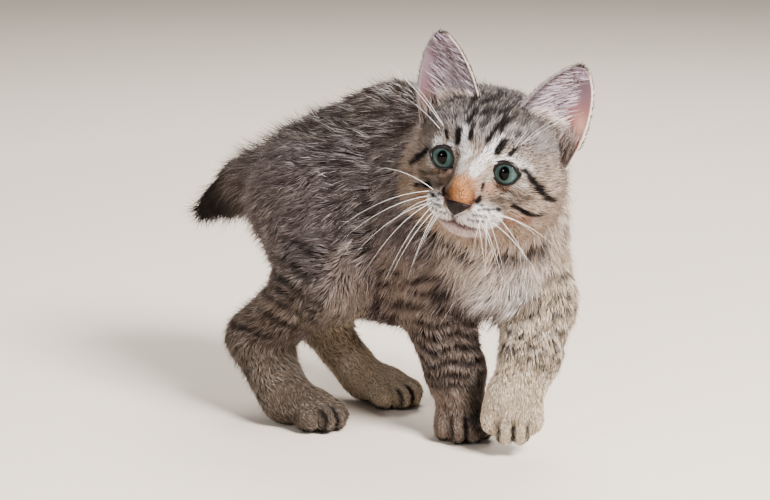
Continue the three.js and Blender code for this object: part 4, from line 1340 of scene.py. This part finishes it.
# Some tufts are strays. Behind the rump and the hocks there are more of them, and they stand higher.
behind = smooth_step(roots[:, 1], 25, 60) * smooth_step(-roots[:, 1], -112, -100)
astray = rng.uniform(0, 1, len(roots)) < STRAYS * (1 + STRAYS_BEHIND * behind)
root_stray = astray * rng.uniform(0.2, 1, len(roots)) * (root_length > SHORT) * (1 + 0.7 * behind)
root_stray = root_stray * np.where(on_head, 0.7, 1)
root_width = root_width * np.where(root_stray > 0, STRAY_WIDTH, 1)
spines, root_normals = lay_on_coat(roots, root_names, root_way, root_depth, root_length, root_stray)
spines[:, :, 2] = np.maximum(spines[:, :, 2], FUR_SOLE)

# A tuft whose tip would cover an eye, the nose leather or the mouth is left out.
shown = clear_of_face(in_head(spines[:, 2]), LEATHER_BACK - 0.5, 0.2, -0.2)
roots, root_names, root_length, root_width = (
    values[shown] for values in (roots, root_names, root_length, root_width)
)
root_ticking, root_depth, root_normals, spines = (
    values[shown] for values in (root_ticking, root_depth, root_normals, spines)
)

# A tuft takes the markings over its bend and at its tip, made paler or darker with its lock and by chance.
lock_tone = rng.normal(size=len(roots))[lock_of(roots, root_names)]
chance = 0.45 * rng.normal(size=len(roots)) + 0.45 * lock_tone + 0.3 * ripple(roots, 6, 31)
over_bend = spines[:, 1] + root_normals * ((1 - BEND) * root_depth)[:, None]
bend_tint, tip_tint = (
    tones(markings(p, root_names), root_ticking * chance) for p in (over_bend, spines[:, 2])
)
root_tint = np.stack((bend_tint, bend_tint, tip_tint), 1)
root_places = coat_map(roots, root_names)
root_short = root_length < SHORT

TRUNK_MIDDLE = 8
KNEE = 60                      # height at which the coat of the near hind leg is parted
COAT_PIECES = {
    "coat_head_right": lambda p, n: (n == "head") & (in_head(p)[:, 0] < 0),
    "coat_head_left": lambda p, n: (n == "head") & (in_head(p)[:, 0] >= 0),
    "coat_chest": lambda p, n: n == "chest",
    "coat_trunk_right": lambda p, n: (n == "trunk") & (p[:, 0] < TRUNK_MIDDLE),
    "coat_trunk_left": lambda p, n: (n == "trunk") & (p[:, 0] >= TRUNK_MIDDLE),
    "coat_tail": lambda p, n: n == "tail",
    "coat_foreleg_right": lambda p, n: n == "foreleg_right",
    "coat_foreleg_left": lambda p, n: n == "foreleg_left",
    "coat_thigh_right": lambda p, n: (n == "hindleg_right") & (p[:, 2] >= KNEE),
    "coat_hindleg_right": lambda p, n: (n == "hindleg_right") & (p[:, 2] < KNEE),
    "coat_hindleg_left": lambda p, n: n == "hindleg_left",
}


def make_coat(name, parts):
    """A piece of coat from groups of tufts, each as tuft_mesh takes it, joined in one mesh."""
    corners, faces, values, places = [], [], [], []
    for part in parts:
        part_corners, part_faces, part_values, part_places = tuft_mesh(*part)
        faces.append(part_faces + sum(len(other) for other in corners))
        corners.append(part_corners)
        values.append(part_values)
        places.append(part_places)
    joined = {key: np.concatenate([part[key] for part in values]) for key in values[0]}
    corners = np.concatenate(corners)
    make_piece(name, corners, np.concatenate(faces), FUR, (), joined, np.concatenate(places))


for name, belongs in COAT_PIECES.items():
    own = belongs(roots, root_names)
    groups = []
    for stations, chosen in (([0, 1, 2], own & ~root_short), ([0, 2], own & root_short)):
        groups.append((spines[chosen][:, stations], root_normals[chosen], root_width[chosen],
                       root_tint[chosen][:, stations], root_ticking[chosen], root_places[chosen]))
    make_coat(name, groups)


# ---------------------------------------------------------------- ears

def ear_half(up, width, drop, power):
    """Width of one half of an ear at that share of its height."""
    return width * (1 - up ** drop) ** power


def ear_point(s, t, side, rear):
    """Place on an ear at share s of its height and t from its inner edge, -1, to its outer edge, 1.
    The leaf stands on its base, as wide as its two halves say, and is cupped toward the back by 1 - t^2.
    rear moves the place back from the front face, as a share of the skin's thickness."""
    rise = EAR_TIP - EAR_BASE
    length = np.linalg.norm(rise)
    rise = rise / length
    across = EAR_ACROSS - (EAR_ACROSS @ rise) * rise
    across = across / np.linalg.norm(across)
    behind = np.cross(rise, across)
    behind = behind * np.sign(behind[1])
    up = np.clip(s, 0, 1)
    width = np.where(t < 0, ear_half(up, **EAR_INNER), ear_half(up, **EAR_OUTER))
    hollow = (EAR_CUP * (1 - up) ** 0.8 + 1) * (1 - t * t) * np.minimum(1, width / 10) - 1.5
    fullness = (1 - 0.5 * up) * np.sqrt(np.maximum(1 - t * t, 0))
    hollow = hollow - EAR_WALL * fullness / 2 + rear * (EAR_SKIN * fullness + 0.3)
    place = EAR_BASE + rise * (length * s)[..., None] + across * (width * t)[..., None]
    return (place + behind * hollow[..., None]) * np.array((side, 1, 1))


# The right ear's foot is darker and turns lilac sooner than the left's: painted shade.
EAR_FEET = {1: (colour(164, 108, 102), 0.6), -1: (colour(100, 66, 65), 0.36)}    # colour, and where it fades
EAR_LILAC = colour(110, 89, 100)
EAR_CANAL_SHADE = colour(66, 28, 23)
EAR_LOBE = colour(226, 178, 160)
EAR_EDGE_LIGHT = colour(240, 224, 208)
INNER_HAIR = colour(222, 206, 214)
INNER_SHADE = colour(112, 88, 100)
FRONT_SHADE = colour(84, 56, 48)


def ear_tint(s, t, rear, side):
    """Colour of an ear: rosy at the foot, darker there on the right ear with painted shade, dark lilac
    above, painted red-brown shade deep in the canal, a pale lobe on the left ear, and painted light in cream
    along each edge that faces left."""
    foot, fade = EAR_FEET[side]
    tint = mix(plain(foot, len(s)), EAR_LILAC, smooth_step(s - 0.35 * t, fade - 0.6, fade))
    tint = mix(tint, FLANK, smooth_step(-s, -0.06, 0.04) * smooth_step(t, 0.2, 0.5))
    # Painted shade deep in the ear canal.
    canal = np.exp(-((s - 0.16) / 0.17) ** 2 - ((t - 0.12) / 0.42) ** 2)
    tint = mix(tint, EAR_CANAL_SHADE, canal)
    lobe = np.exp(-((s - 0.3) / 0.12) ** 2 - ((t - 0.78) / 0.2) ** 2) * (side > 0)
    tint = mix(tint, EAR_LOBE, lobe * 0.6)
    # Painted light: the edge that faces left is cream, the other takes the forehead's grey.
    rim = smooth_step(np.abs(t), 0.93, 0.99)
    tint = mix(tint, mix(plain(EAR_EDGE_LIGHT, len(s)), FOREHEAD, t * side < 0), rim * 0.9)
    return mix(tint, BACK, rear * (1 - rim))


EAR_RINGS = 34
EAR_COLUMNS = 26
EAR_START = -0.3               # share of its height at which the leaf starts, below the coat of the head
EAR_REACH = 1.295              # and how far up it goes from there


def make_ear(side, name):
    """A cupped leaf of skin: at each height a ring runs over the front face and back over the rear one."""
    s = EAR_START + EAR_REACH * (1 - (1 - np.linspace(0, 1, EAR_RINGS)) ** 1.35)
    front = -np.cos(np.pi * np.arange(EAR_COLUMNS + 1) / EAR_COLUMNS)
    t = np.concatenate((front, front[-2:0:-1]))
    rear = np.concatenate((np.zeros(EAR_COLUMNS + 1), np.ones(EAR_COLUMNS - 1)))
    grid_s = np.repeat(s, len(t))
    grid_t = np.tile(t, EAR_RINGS)
    grid_rear = np.tile(rear, EAR_RINGS)
    corners = ear_point(grid_s, grid_t, side, grid_rear)
    tint = ear_tint(grid_s, grid_t, grid_rear, side)
    last = corners[-len(t):].mean(0)
    first = corners[:len(t)].mean(0)
    corners = from_head(np.concatenate((first[None], corners, last[None])))
    tint = np.concatenate((tint[:1], tint, tint[-1:]))
    faces = ring_faces(EAR_RINGS, len(t))
    if side < 0:
        faces = faces[:, ::-1]
    make_piece("ear_skin_" + name, corners, faces, EAR_BARE, ("ear_" + name,), dict(tint=tint))


BACK_TUFTS = 4400              # on the back of each ear
RIM_TUFTS = 1700               # along its rim
INNER_LOCKS = 300              # locks of long ones inside it
LOCK_TUFTS = 5                 # tufts in each of them
FRONT_TUFTS = 900              # at its foot, before the opening


def ear_stand(s, t, side, rear):
    """Place on an ear, with the ways up it, outward across it and out of its front there."""
    here = ear_point(s, t, side, rear)
    rise = unit(ear_point(s + 0.02, t, side, rear) - ear_point(s - 0.02, t, side, rear))
    across = unit(ear_point(s, t + 0.02, side, rear) - ear_point(s, t - 0.02, side, rear))
    front = unit(np.cross(rise, across))
    return here, rise, across, front * -np.sign(front[:, 1:2])


def bent(here, way, later_way, length):
    """Spines that run one way for half their length and another for the rest."""
    middle = here + way * length * 0.5
    return np.stack((here, middle, middle + unit(later_way) * length * 0.5), 1)


def back_fur(side):
    """Spines and colours of the short fur up the back of an ear, paler along its edges."""
    s = rng.uniform(-0.05, 0.97, BACK_TUFTS)
    t = rng.uniform(-0.97, 0.97, BACK_TUFTS)
    here, rise, across, front = ear_stand(s, t, side, np.ones(BACK_TUFTS))
    way = unit(rise + across * (t * 0.5 + rng.normal(0, 0.15, BACK_TUFTS))[:, None])
    length = (4.6 - 2.2 * s)[:, None] * rng.uniform(0.8, 1.2, (BACK_TUFTS, 1))
    spine = np.stack((here, here + way * length * 0.5 - front * 0.75, here + way * length - front), 1)
    tint = mix(plain(FLANK, BACK_TUFTS), BACK, 0.4 + 0.5 * s)
    tint = mix(tint, FOREHEAD, smooth_step(np.abs(t), 0.75, 0.95) * (s < 0.9) * 0.8)
    return spine, tones(tint, 0.4 * rng.normal(size=BACK_TUFTS))


def rim_fringe(side):
    """Spines and colours of the fringe on a rim: cream to the left, grey to the right, dark on top.
    The cream on the edge that faces left is painted light.
    """
    s = rng.uniform(0.0, 0.985, RIM_TUFTS)
    t = np.where(rng.uniform(0, 1, RIM_TUFTS) < 0.5, -1, 1) * rng.uniform(0.93, 0.995, RIM_TUFTS)
    here, rise, across, _ = ear_stand(s, t, side, np.full(RIM_TUFTS, 0.6))
    way = unit(rise + across * (np.sign(t) * 0.4)[:, None] + rng.normal(0, 0.1, (RIM_TUFTS, 3)))
    # Painted light: the fringe is cream on the edge that faces left and grey on the other.
    away_from_light = (t * side < 0) * 1.0
    length = rng.uniform(1.0, 2.2, (RIM_TUFTS, 1)) * (np.where(s > 0.9, 1.6, 1) + 0.7 * away_from_light)[:, None]
    tint = mix(mix(plain(CREAM, RIM_TUFTS), FOREHEAD, away_from_light), DARK, smooth_step(s, 0.88, 0.97) * 0.85)
    return np.stack((here, here + way * length * 0.5, here + way * length), 1), tint


def inner_hair(side):
    """Spines and colours of the long pale locks that sweep in from an ear's inner edge and up from its root,
    farther across the right ear than across the left one."""
    s, t, bend, lean = np.repeat(np.stack((
        0.92 * rng.beta(1.1, 1.3, INNER_LOCKS) - 0.04,
        -0.93 + (1.15 - 0.2 * side) * rng.beta(1.0, 2.0, INNER_LOCKS),
        rng.uniform(0.4, 0.75, INNER_LOCKS),
        rng.uniform(0.08, 0.35, INNER_LOCKS),
    )), LOCK_TUFTS, axis=1)
    count = len(s)
    s, t = s + rng.normal(0, 0.03, count), np.clip(t + rng.normal(0, 0.05, count), -0.96, 0.3)
    here, rise, across, front = ear_stand(s, t, side, np.zeros(count))
    bend, lean = bend[:, None], lean[:, None]
    way = unit(across * bend + rise * (1 - 0.6 * bend) + front * lean + rng.normal(0, 0.06, (count, 3)))
    length = (15 - 7.5 * s)[:, None] * rng.uniform(0.6, 1.15, (count, 1))
    lock_shade = np.repeat(rng.uniform(0, 1, INNER_LOCKS), LOCK_TUFTS)
    shade = 0.15 + 0.5 * s + 0.15 * lock_shade + rng.normal(0, 0.35, count)
    spine = bent(here, way, way + across * 0.25 + rise * 0.25 - front * 0.3, length)
    return spine, mix(plain(INNER_HAIR, count), INNER_SHADE, shade)


def front_hair(side):
    """Spines and colours of the hair at an ear's foot, with painted red-brown shade toward the outer edge.
    """
    t = rng.uniform(-0.95, 0.98, FRONT_TUFTS)
    outer = smooth_step(t, 0.2, 0.6)
    s = rng.uniform(-0.12, 0.12, FRONT_TUFTS) - outer * rng.uniform(0, 0.2, FRONT_TUFTS)
    here, rise, across, front = ear_stand(s, t, side, np.zeros(FRONT_TUFTS))
    here = here + front * rng.uniform(0, 3.0, (FRONT_TUFTS, 1))
    outward = across * rng.uniform(0, 0.7, (FRONT_TUFTS, 1)) * (1 - 1.4 * outer)[:, None]
    way = unit(rise + outward + front * 0.35)
    length = rng.uniform(6, 11, (FRONT_TUFTS, 1))
    tint = mix(plain(CREAM, FRONT_TUFTS), FOREHEAD, rng.uniform(0, 1, FRONT_TUFTS) + 0.6 * outer)
    # Painted red-brown shade on the hair toward the outer edge.
    tint = mix(tint, FRONT_SHADE, outer * rng.uniform(0, 1, FRONT_TUFTS) * 0.8)
    return bent(here, way, way + across * 0.3 - front * 0.1, length), tint


# What grows on an ear, with the width of a tuft, its ticking, and whether it faces back, 1, or forward, -1.
EAR_FUR = (
    (back_fur, 0.5, 0.5, 1),
    (rim_fringe, 0.32, 0.2, -1),
    (inner_hair, 0.36, 0.2, -1),
    (front_hair, 0.32, 0.3, -1),
)
GOLDEN = 0.618034              # golden ratio, which spreads the tufts of an ear over the map


def make_ear_coat(side, name):
    """The coat of an ear. Each tuft's place in the map is GOLDEN across and one row up from the last's."""
    grown = [grow(side) for grow, *_ in EAR_FUR]
    count = sum(len(spine) for spine, _ in grown)
    groups = []
    first = 0
    for (spine, tint), (_, width, ticking, facing) in zip(grown, EAR_FUR):
        rows = first + np.arange(len(spine))
        first += len(spine)
        places = np.stack(((rows * GOLDEN) % 1, rows / count), 1) * MAP_SPAN + MAP_EDGE
        normal = np.tile((0.01, facing, 0.01), (len(spine), 1)) @ HEAD_AXES
        ones = np.ones(len(spine))
        groups.append((from_head(spine.reshape(-1, 3)).reshape(spine.shape), normal, width * ones,
                       np.repeat(tint[:, None], spine.shape[1], 1), ticking * ones, places))
    make_coat("coat_ear_" + name, groups)


for side, name in ((1, "left"), (-1, "right")):
    make_ear(side, name)
    make_ear_coat(side, name)


# ---------------------------------------------------------------- eyes

EYE_RINGS = 56
EYE_AROUND = 72
CROWDING = 1.25                # how much closer the rings stand at the front of the eye
CORNEA_RISE = 0.8
CORNEA_SPREAD = 1.1            # radius of the bulge, as a share of the iris's
GAZE = dict(heading=-0.5, pitch=2.6)        # turn and lift of the gaze within the head


def make_eye(side, name):
    """An eyeball: a sphere whose clear front bulges by a raised cosine, laid out in rings round the gaze."""
    polar = np.linspace(0, np.pi, EYE_RINGS + 2)[1:-1] ** CROWDING / np.pi ** (CROWDING - 1)
    turn = np.arange(EYE_AROUND) * (2 * math.pi / EYE_AROUND)
    polar, turn = np.repeat(polar, EYE_AROUND), np.tile(turn, EYE_RINGS)
    iris_angle = math.asin(IRIS_RADIUS / EYE_RADIUS)
    bulge = CORNEA_RISE * (0.5 + 0.5 * np.cos(np.minimum(polar / (iris_angle * CORNEA_SPREAD), 1) * np.pi))
    radius = EYE_RADIUS + bulge
    local = np.stack((np.sin(polar) * np.cos(turn), -np.cos(polar), np.sin(polar) * np.sin(turn)), 1)
    local = local * radius[:, None]
    local = np.concatenate(([[0, -EYE_RADIUS - CORNEA_RISE, 0]], local, [[0, EYE_RADIUS, 0]]))
    shown = EYE_RADIUS / IRIS_RADIUS
    direction = unit(local)
    facing = np.where(direction[:, 1] < 0, 1, 3)
    across = direction[:, 0] * shown * facing
    upward = direction[:, 2] * shown * facing
    turned = local @ axes_of(GAZE["heading"], GAZE["pitch"])
    centre = EYE * np.array((side, 1, 1))
    corners = from_head(turned + centre)
    faces = ring_faces(EYE_RINGS, EYE_AROUND)[:, ::-1]
    values = dict(across=across, upward=upward)
    make_piece("eyeball_" + name, corners, faces, EYEBALL, ("eye_" + name,), values)


RIM_STEPS = 96
RIM_AROUND = 10
RIM_ROOM = 0.1                 # how far the middle of the rim lies outside the opening
RIM_PAST_EYE = 0.55            # and past the eyeball
RIM_RADIUS = 0.62


def make_rim(side, name):
    """The dark edge of the lids: a closed tube along the almond opening, drawn out at both its corners."""
    t = np.arange(RIM_STEPS) * (2 * math.pi / RIM_STEPS)
    inner_corner = np.exp(-((t - math.pi * 1.1) / 0.3) ** 2)
    outer_corner = np.exp(-((np.mod(t + math.pi, 2 * math.pi) - math.pi - 0.12) / 0.24) ** 2)
    across = (OPENING[0] + RIM_ROOM) * np.cos(t) - 1.5 * inner_corner + 0.9 * outer_corner
    upward = (OPENING[1] + RIM_ROOM) * np.sin(t) - 0.8 * inner_corner + 0.3 * outer_corner
    radius = EYE_RADIUS + RIM_PAST_EYE
    forward = np.sqrt(radius ** 2 - across ** 2 - upward ** 2)
    path = np.stack((across, -forward, upward), 1)
    thickness = RIM_RADIUS + 0.7 * np.exp(-((t - math.pi * 0.8) / 0.9) ** 2) + 0.1 * np.sin(t)
    outward = unit(path)
    way = unit(np.roll(path, -1, 0) - np.roll(path, 1, 0))
    aside = np.cross(way, outward)
    angle = np.arange(RIM_AROUND) * (2 * math.pi / RIM_AROUND)
    ring = aside[:, None] * np.cos(angle)[:, None] + outward[:, None] * np.sin(angle)[:, None]
    corners = path[:, None] + ring * thickness[:, None, None]
    local = (corners.reshape(-1, 3) + EYE) * np.array((side, 1, 1))
    i, j = np.meshgrid(np.arange(RIM_STEPS), np.arange(RIM_AROUND), indexing="ij")
    i_next, j_next = (i + 1) % RIM_STEPS, (j + 1) % RIM_AROUND
    quads = np.stack((i * RIM_AROUND + j, i_next * RIM_AROUND + j,
                      i_next * RIM_AROUND + j_next, i * RIM_AROUND + j_next), -1).reshape(-1, 4)
    if side > 0:
        quads = quads[:, ::-1]
    make_piece("lid_rim_" + name, from_head(local), quads, RIM)


for side, name in ((1, "left"), (-1, "right")):
    make_eye(side, name)
    make_rim(side, name)


# ---------------------------------------------------------------- nose

NOSTRIL = ((2.9, -46.4, -13.6), (5.2, -45, -12.2), (6.7, -43, -11.2))
NOSTRIL_RADIUS = 1.15
GROOVE = ((0, -46.8, -10.5), (0, -40.5, -18.4))      # down the middle of the leather
GROOVE_RADII = (0.35, 0.45)
LEATHER_RISE = 0.45            # how far the leather stands out of the outline
LEATHER_CELL = 0.36
LEATHER_BROWN = colour(30, 19, 19)
LEATHER_DARK = colour(14, 9, 9)
LEATHER_HOLLOW_SHADE = colour(4, 3, 3)


def nostril(q):
    """Distance to the nostrils in head axes: bent slots that run out and up round the leather's sides."""
    return chain(as_pair(q), NOSTRIL, NOSTRIL_RADIUS)


def leather(q):
    """Distance to the nose leather in head axes: the snout's front within a triangle, with its hollows."""
    front = outline(from_head(q)) - LEATHER_RISE
    shape = carve(np.maximum(past_leather(q), q[:, 1] - LEATHER_BACK), -front, 1.8)
    shape = carve(shape, nostril(q), 0.7)
    return carve(shape, limb(q, *GROOVE, GROOVE_RADII), 0.9)


def leather_tint(q):
    """Colour of the nose leather, with painted shade darkest in the nostrils and the groove."""
    # Painted shade in the nostrils and down the middle groove.
    hollow = smooth_step(-nostril(q), -0.9, 0.2) + 0.5 * smooth_step(-np.abs(q[:, 0]), -0.8, -0.2)
    tint = mix(plain(LEATHER_BROWN, len(q)), LEATHER_DARK, 0.5 + 0.5 * ripple(q, 3, 51))
    return mix(tint, LEATHER_HOLLOW_SHADE, hollow)


nose_corners, nose_faces = level_surface(leather, (-9, -48, -20), (9, -35, -7), LEATHER_CELL)
nose_corners = settle(leather, nose_corners, 0, 1)[0]
nose_values = dict(tint=leather_tint(nose_corners))
make_piece("nose_leather", from_head(nose_corners), nose_faces, LEATHER, ("nose",), nose_values)


# ---------------------------------------------------------------- whiskers

# The root of each whisker, how far its tip lies from there, and its bow up and forward midway.
WHISKERS = (
    ((-14, -38, -9), (-42.5, 0.2, -30), 6),
    ((-14, -39, -11), (-39.5, -1, -33), 6),
    ((-12, -40, -13), (-27, -3, -43), 7),
    ((-14, -38.5, -14.5), (-33, 0, -36), 6),
    ((-12, -40, -15), (-16.5, -3, -44), 6),
    ((-10, -40.5, -16), (-16.5, -1, -39.5), 5),
    ((-10, -40.5, -17), (-8, 0, -37), 4),
    ((-9, -40, -18), (-7.5, 0, -27), 3),
    ((-8, -40, -18), (-6, 1, -17), 2),
    ((-13, -38, -8.8), (-31.5, 5, 2), 4),
    ((-12, -39.5, -11.5), (-22, 1, -22), 4),
    ((11.9, -41.7, -14), (-1.8, 2, -18.5), 2),
    ((14, -40.4, -14.1), (4.4, 0.5, -28), 4),
    ((10.1, -42.3, -14), (12, 4.5, -22.5), 4),
    ((12.2, -40.3, -10.3), (16, 2.5, -33), 5),
    ((14.1, -39, -10.4), (24, 7, -26), 5),
    ((14, -39, -12), (23.5, 12.5, -10), 4),
    ((16, -38, -13), (30, 14, -12.5), 5),
    ((15, -38, -16), (27, 12, -26), 5),
    ((12.7, -40, -16.8), (15, 5, -31), 4),
    ((10.5, -41, -17), (8, 3, -27), 3),
)
BROW_WHISKERS = (
    ((-19, -23.3, 17.9), (-30.3, -1.5, 22.7), 3),
    ((-18, -23, 17), (-22.8, 0, 19.7), 3),
    ((-19.5, -23, 15.6), (-22, 2, 11), 2),
    ((19, -23.3, 17.9), (26, 3, 22), 3),
    ((18, -23, 17), (20, 1, 21), 3),
    ((16.5, -24.2, 15.8), (9, -4, 16), 2),
)
WHISKER_STATIONS = 18
WHISKER_SIDES = 5
WHISKER_TIP = 0.12             # radius at the tip, as a share of that at the root
WHISKER_BOW = np.array((0, -0.5, 0.85))


def make_whiskers(name, table, radius):
    """Tapering hairs along parabolas: from the root by t of the reach and by 4 t (1 - t) of the bow."""
    paths = []
    t = np.linspace(0, 1, WHISKER_STATIONS)[:, None]
    for root, reach, bow in table:
        paths.append(np.array(root) + t * np.array(reach) + 4 * t * (1 - t) * bow * WHISKER_BOW)
    paths = np.array(paths)
    taper = np.linspace(1, WHISKER_TIP, WHISKER_STATIONS)
    radii = np.tile(taper * radius, (len(paths), 1))
    corners = tube_corners(paths, radii, WHISKER_SIDES, np.array((0.1, 0.2, 1.0)))
    each = ring_faces(WHISKER_STATIONS, WHISKER_SIDES)
    faces = (np.arange(len(paths))[:, None, None] * corners.shape[1] + each).reshape(-1, 3)
    along = np.repeat(np.linspace(0, 1, WHISKER_STATIONS), WHISKER_SIDES)
    along = np.tile(np.concatenate(([0], along, [1])), len(paths))
    make_piece(name, from_head(corners.reshape(-1, 3)), faces, WHISKER, (), dict(along=along))


make_whiskers("whiskers", WHISKERS, 0.13)
make_whiskers("brow_whiskers", BROW_WHISKERS, 0.1)


# ---------------------------------------------------------------- floor, light and camera

FLOOR_REACH = 6.0              # metres each way


def make_floor():
    """A wide level sheet under the kitten."""
    corners = [(x * FLOOR_REACH, y * FLOOR_REACH, 0) for x, y in ((-1, -1), (1, -1), (1, 1), (-1, 1))]
    mesh = bpy.data.meshes.new("floor")
    mesh.from_pydata(corners, [], [(0, 1, 2, 3)])
    mesh.materials.append(floor_material())
    sheet = bpy.data.objects.new("floor", mesh)
    bpy.context.scene.collection.objects.link(sheet)


CAMERA_PLACE = (-0.8649, -0.7287, 0.3287)
CAMERA_HEADING = -50.0         # the way it stands from the kitten, round from -Y
CAMERA_DIP = 12.0              # how far it looks down
LENS = 107.5
SENSOR = 36.0

# Each lamp's bearing round the kitten from -Y, elevation, distance, side, power and tone.
LAMPS = {
    "key": (-10, 38, 1.5, 0.55, 88, (1.0, 0.97, 0.94)),
    "fill": (-90, 16, 1.4, 0.18, 9, (0.97, 0.98, 1.0)),
    "rim": (120, 50, 1.6, 0.8, 28, (1.0, 0.97, 0.94)),
}
LAMP_AIM = 0.1                 # height of the place that the lamps face
WORLD_TONE = (0.96, 0.95, 0.95)
WORLD_STRENGTH = 0.32


def make_camera():
    """A long lens a metre off, a little above the kitten's back."""
    camera = bpy.data.cameras.new("camera")
    camera.lens = LENS
    camera.sensor_width = SENSOR
    holder = bpy.data.objects.new("camera", camera)
    holder.location = CAMERA_PLACE
    holder.rotation_euler = (math.radians(90 - CAMERA_DIP), 0, math.radians(CAMERA_HEADING))
    bpy.context.scene.collection.objects.link(holder)
    bpy.context.scene.camera = holder


def make_lamp(name, bearing, elevation, distance, size, power, tone):
    """A square soft light that faces the middle of the kitten."""
    lamp = bpy.data.lights.new(name, "AREA")
    lamp.size = size
    lamp.energy = power
    lamp.color = tone
    holder = bpy.data.objects.new(name, lamp)
    turn, rise = math.radians(bearing), math.radians(elevation)
    holder.location = (
        distance * math.sin(turn) * math.cos(rise),
        -distance * math.cos(turn) * math.cos(rise),
        LAMP_AIM + distance * math.sin(rise),
    )
    holder.rotation_euler = (math.radians(90 - elevation), 0, turn)
    bpy.context.scene.collection.objects.link(holder)


make_floor()
make_camera()
for name, lamp in LAMPS.items():
    make_lamp(name, *lamp)
world = bpy.data.worlds.new("world")
world.use_nodes = True
world.node_tree.nodes["Background"].inputs["Color"].default_value = (*WORLD_TONE, 1)
world.node_tree.nodes["Background"].inputs["Strength"].default_value = WORLD_STRENGTH
bpy.context.scene.world = world

bpy.context.view_layer.update()
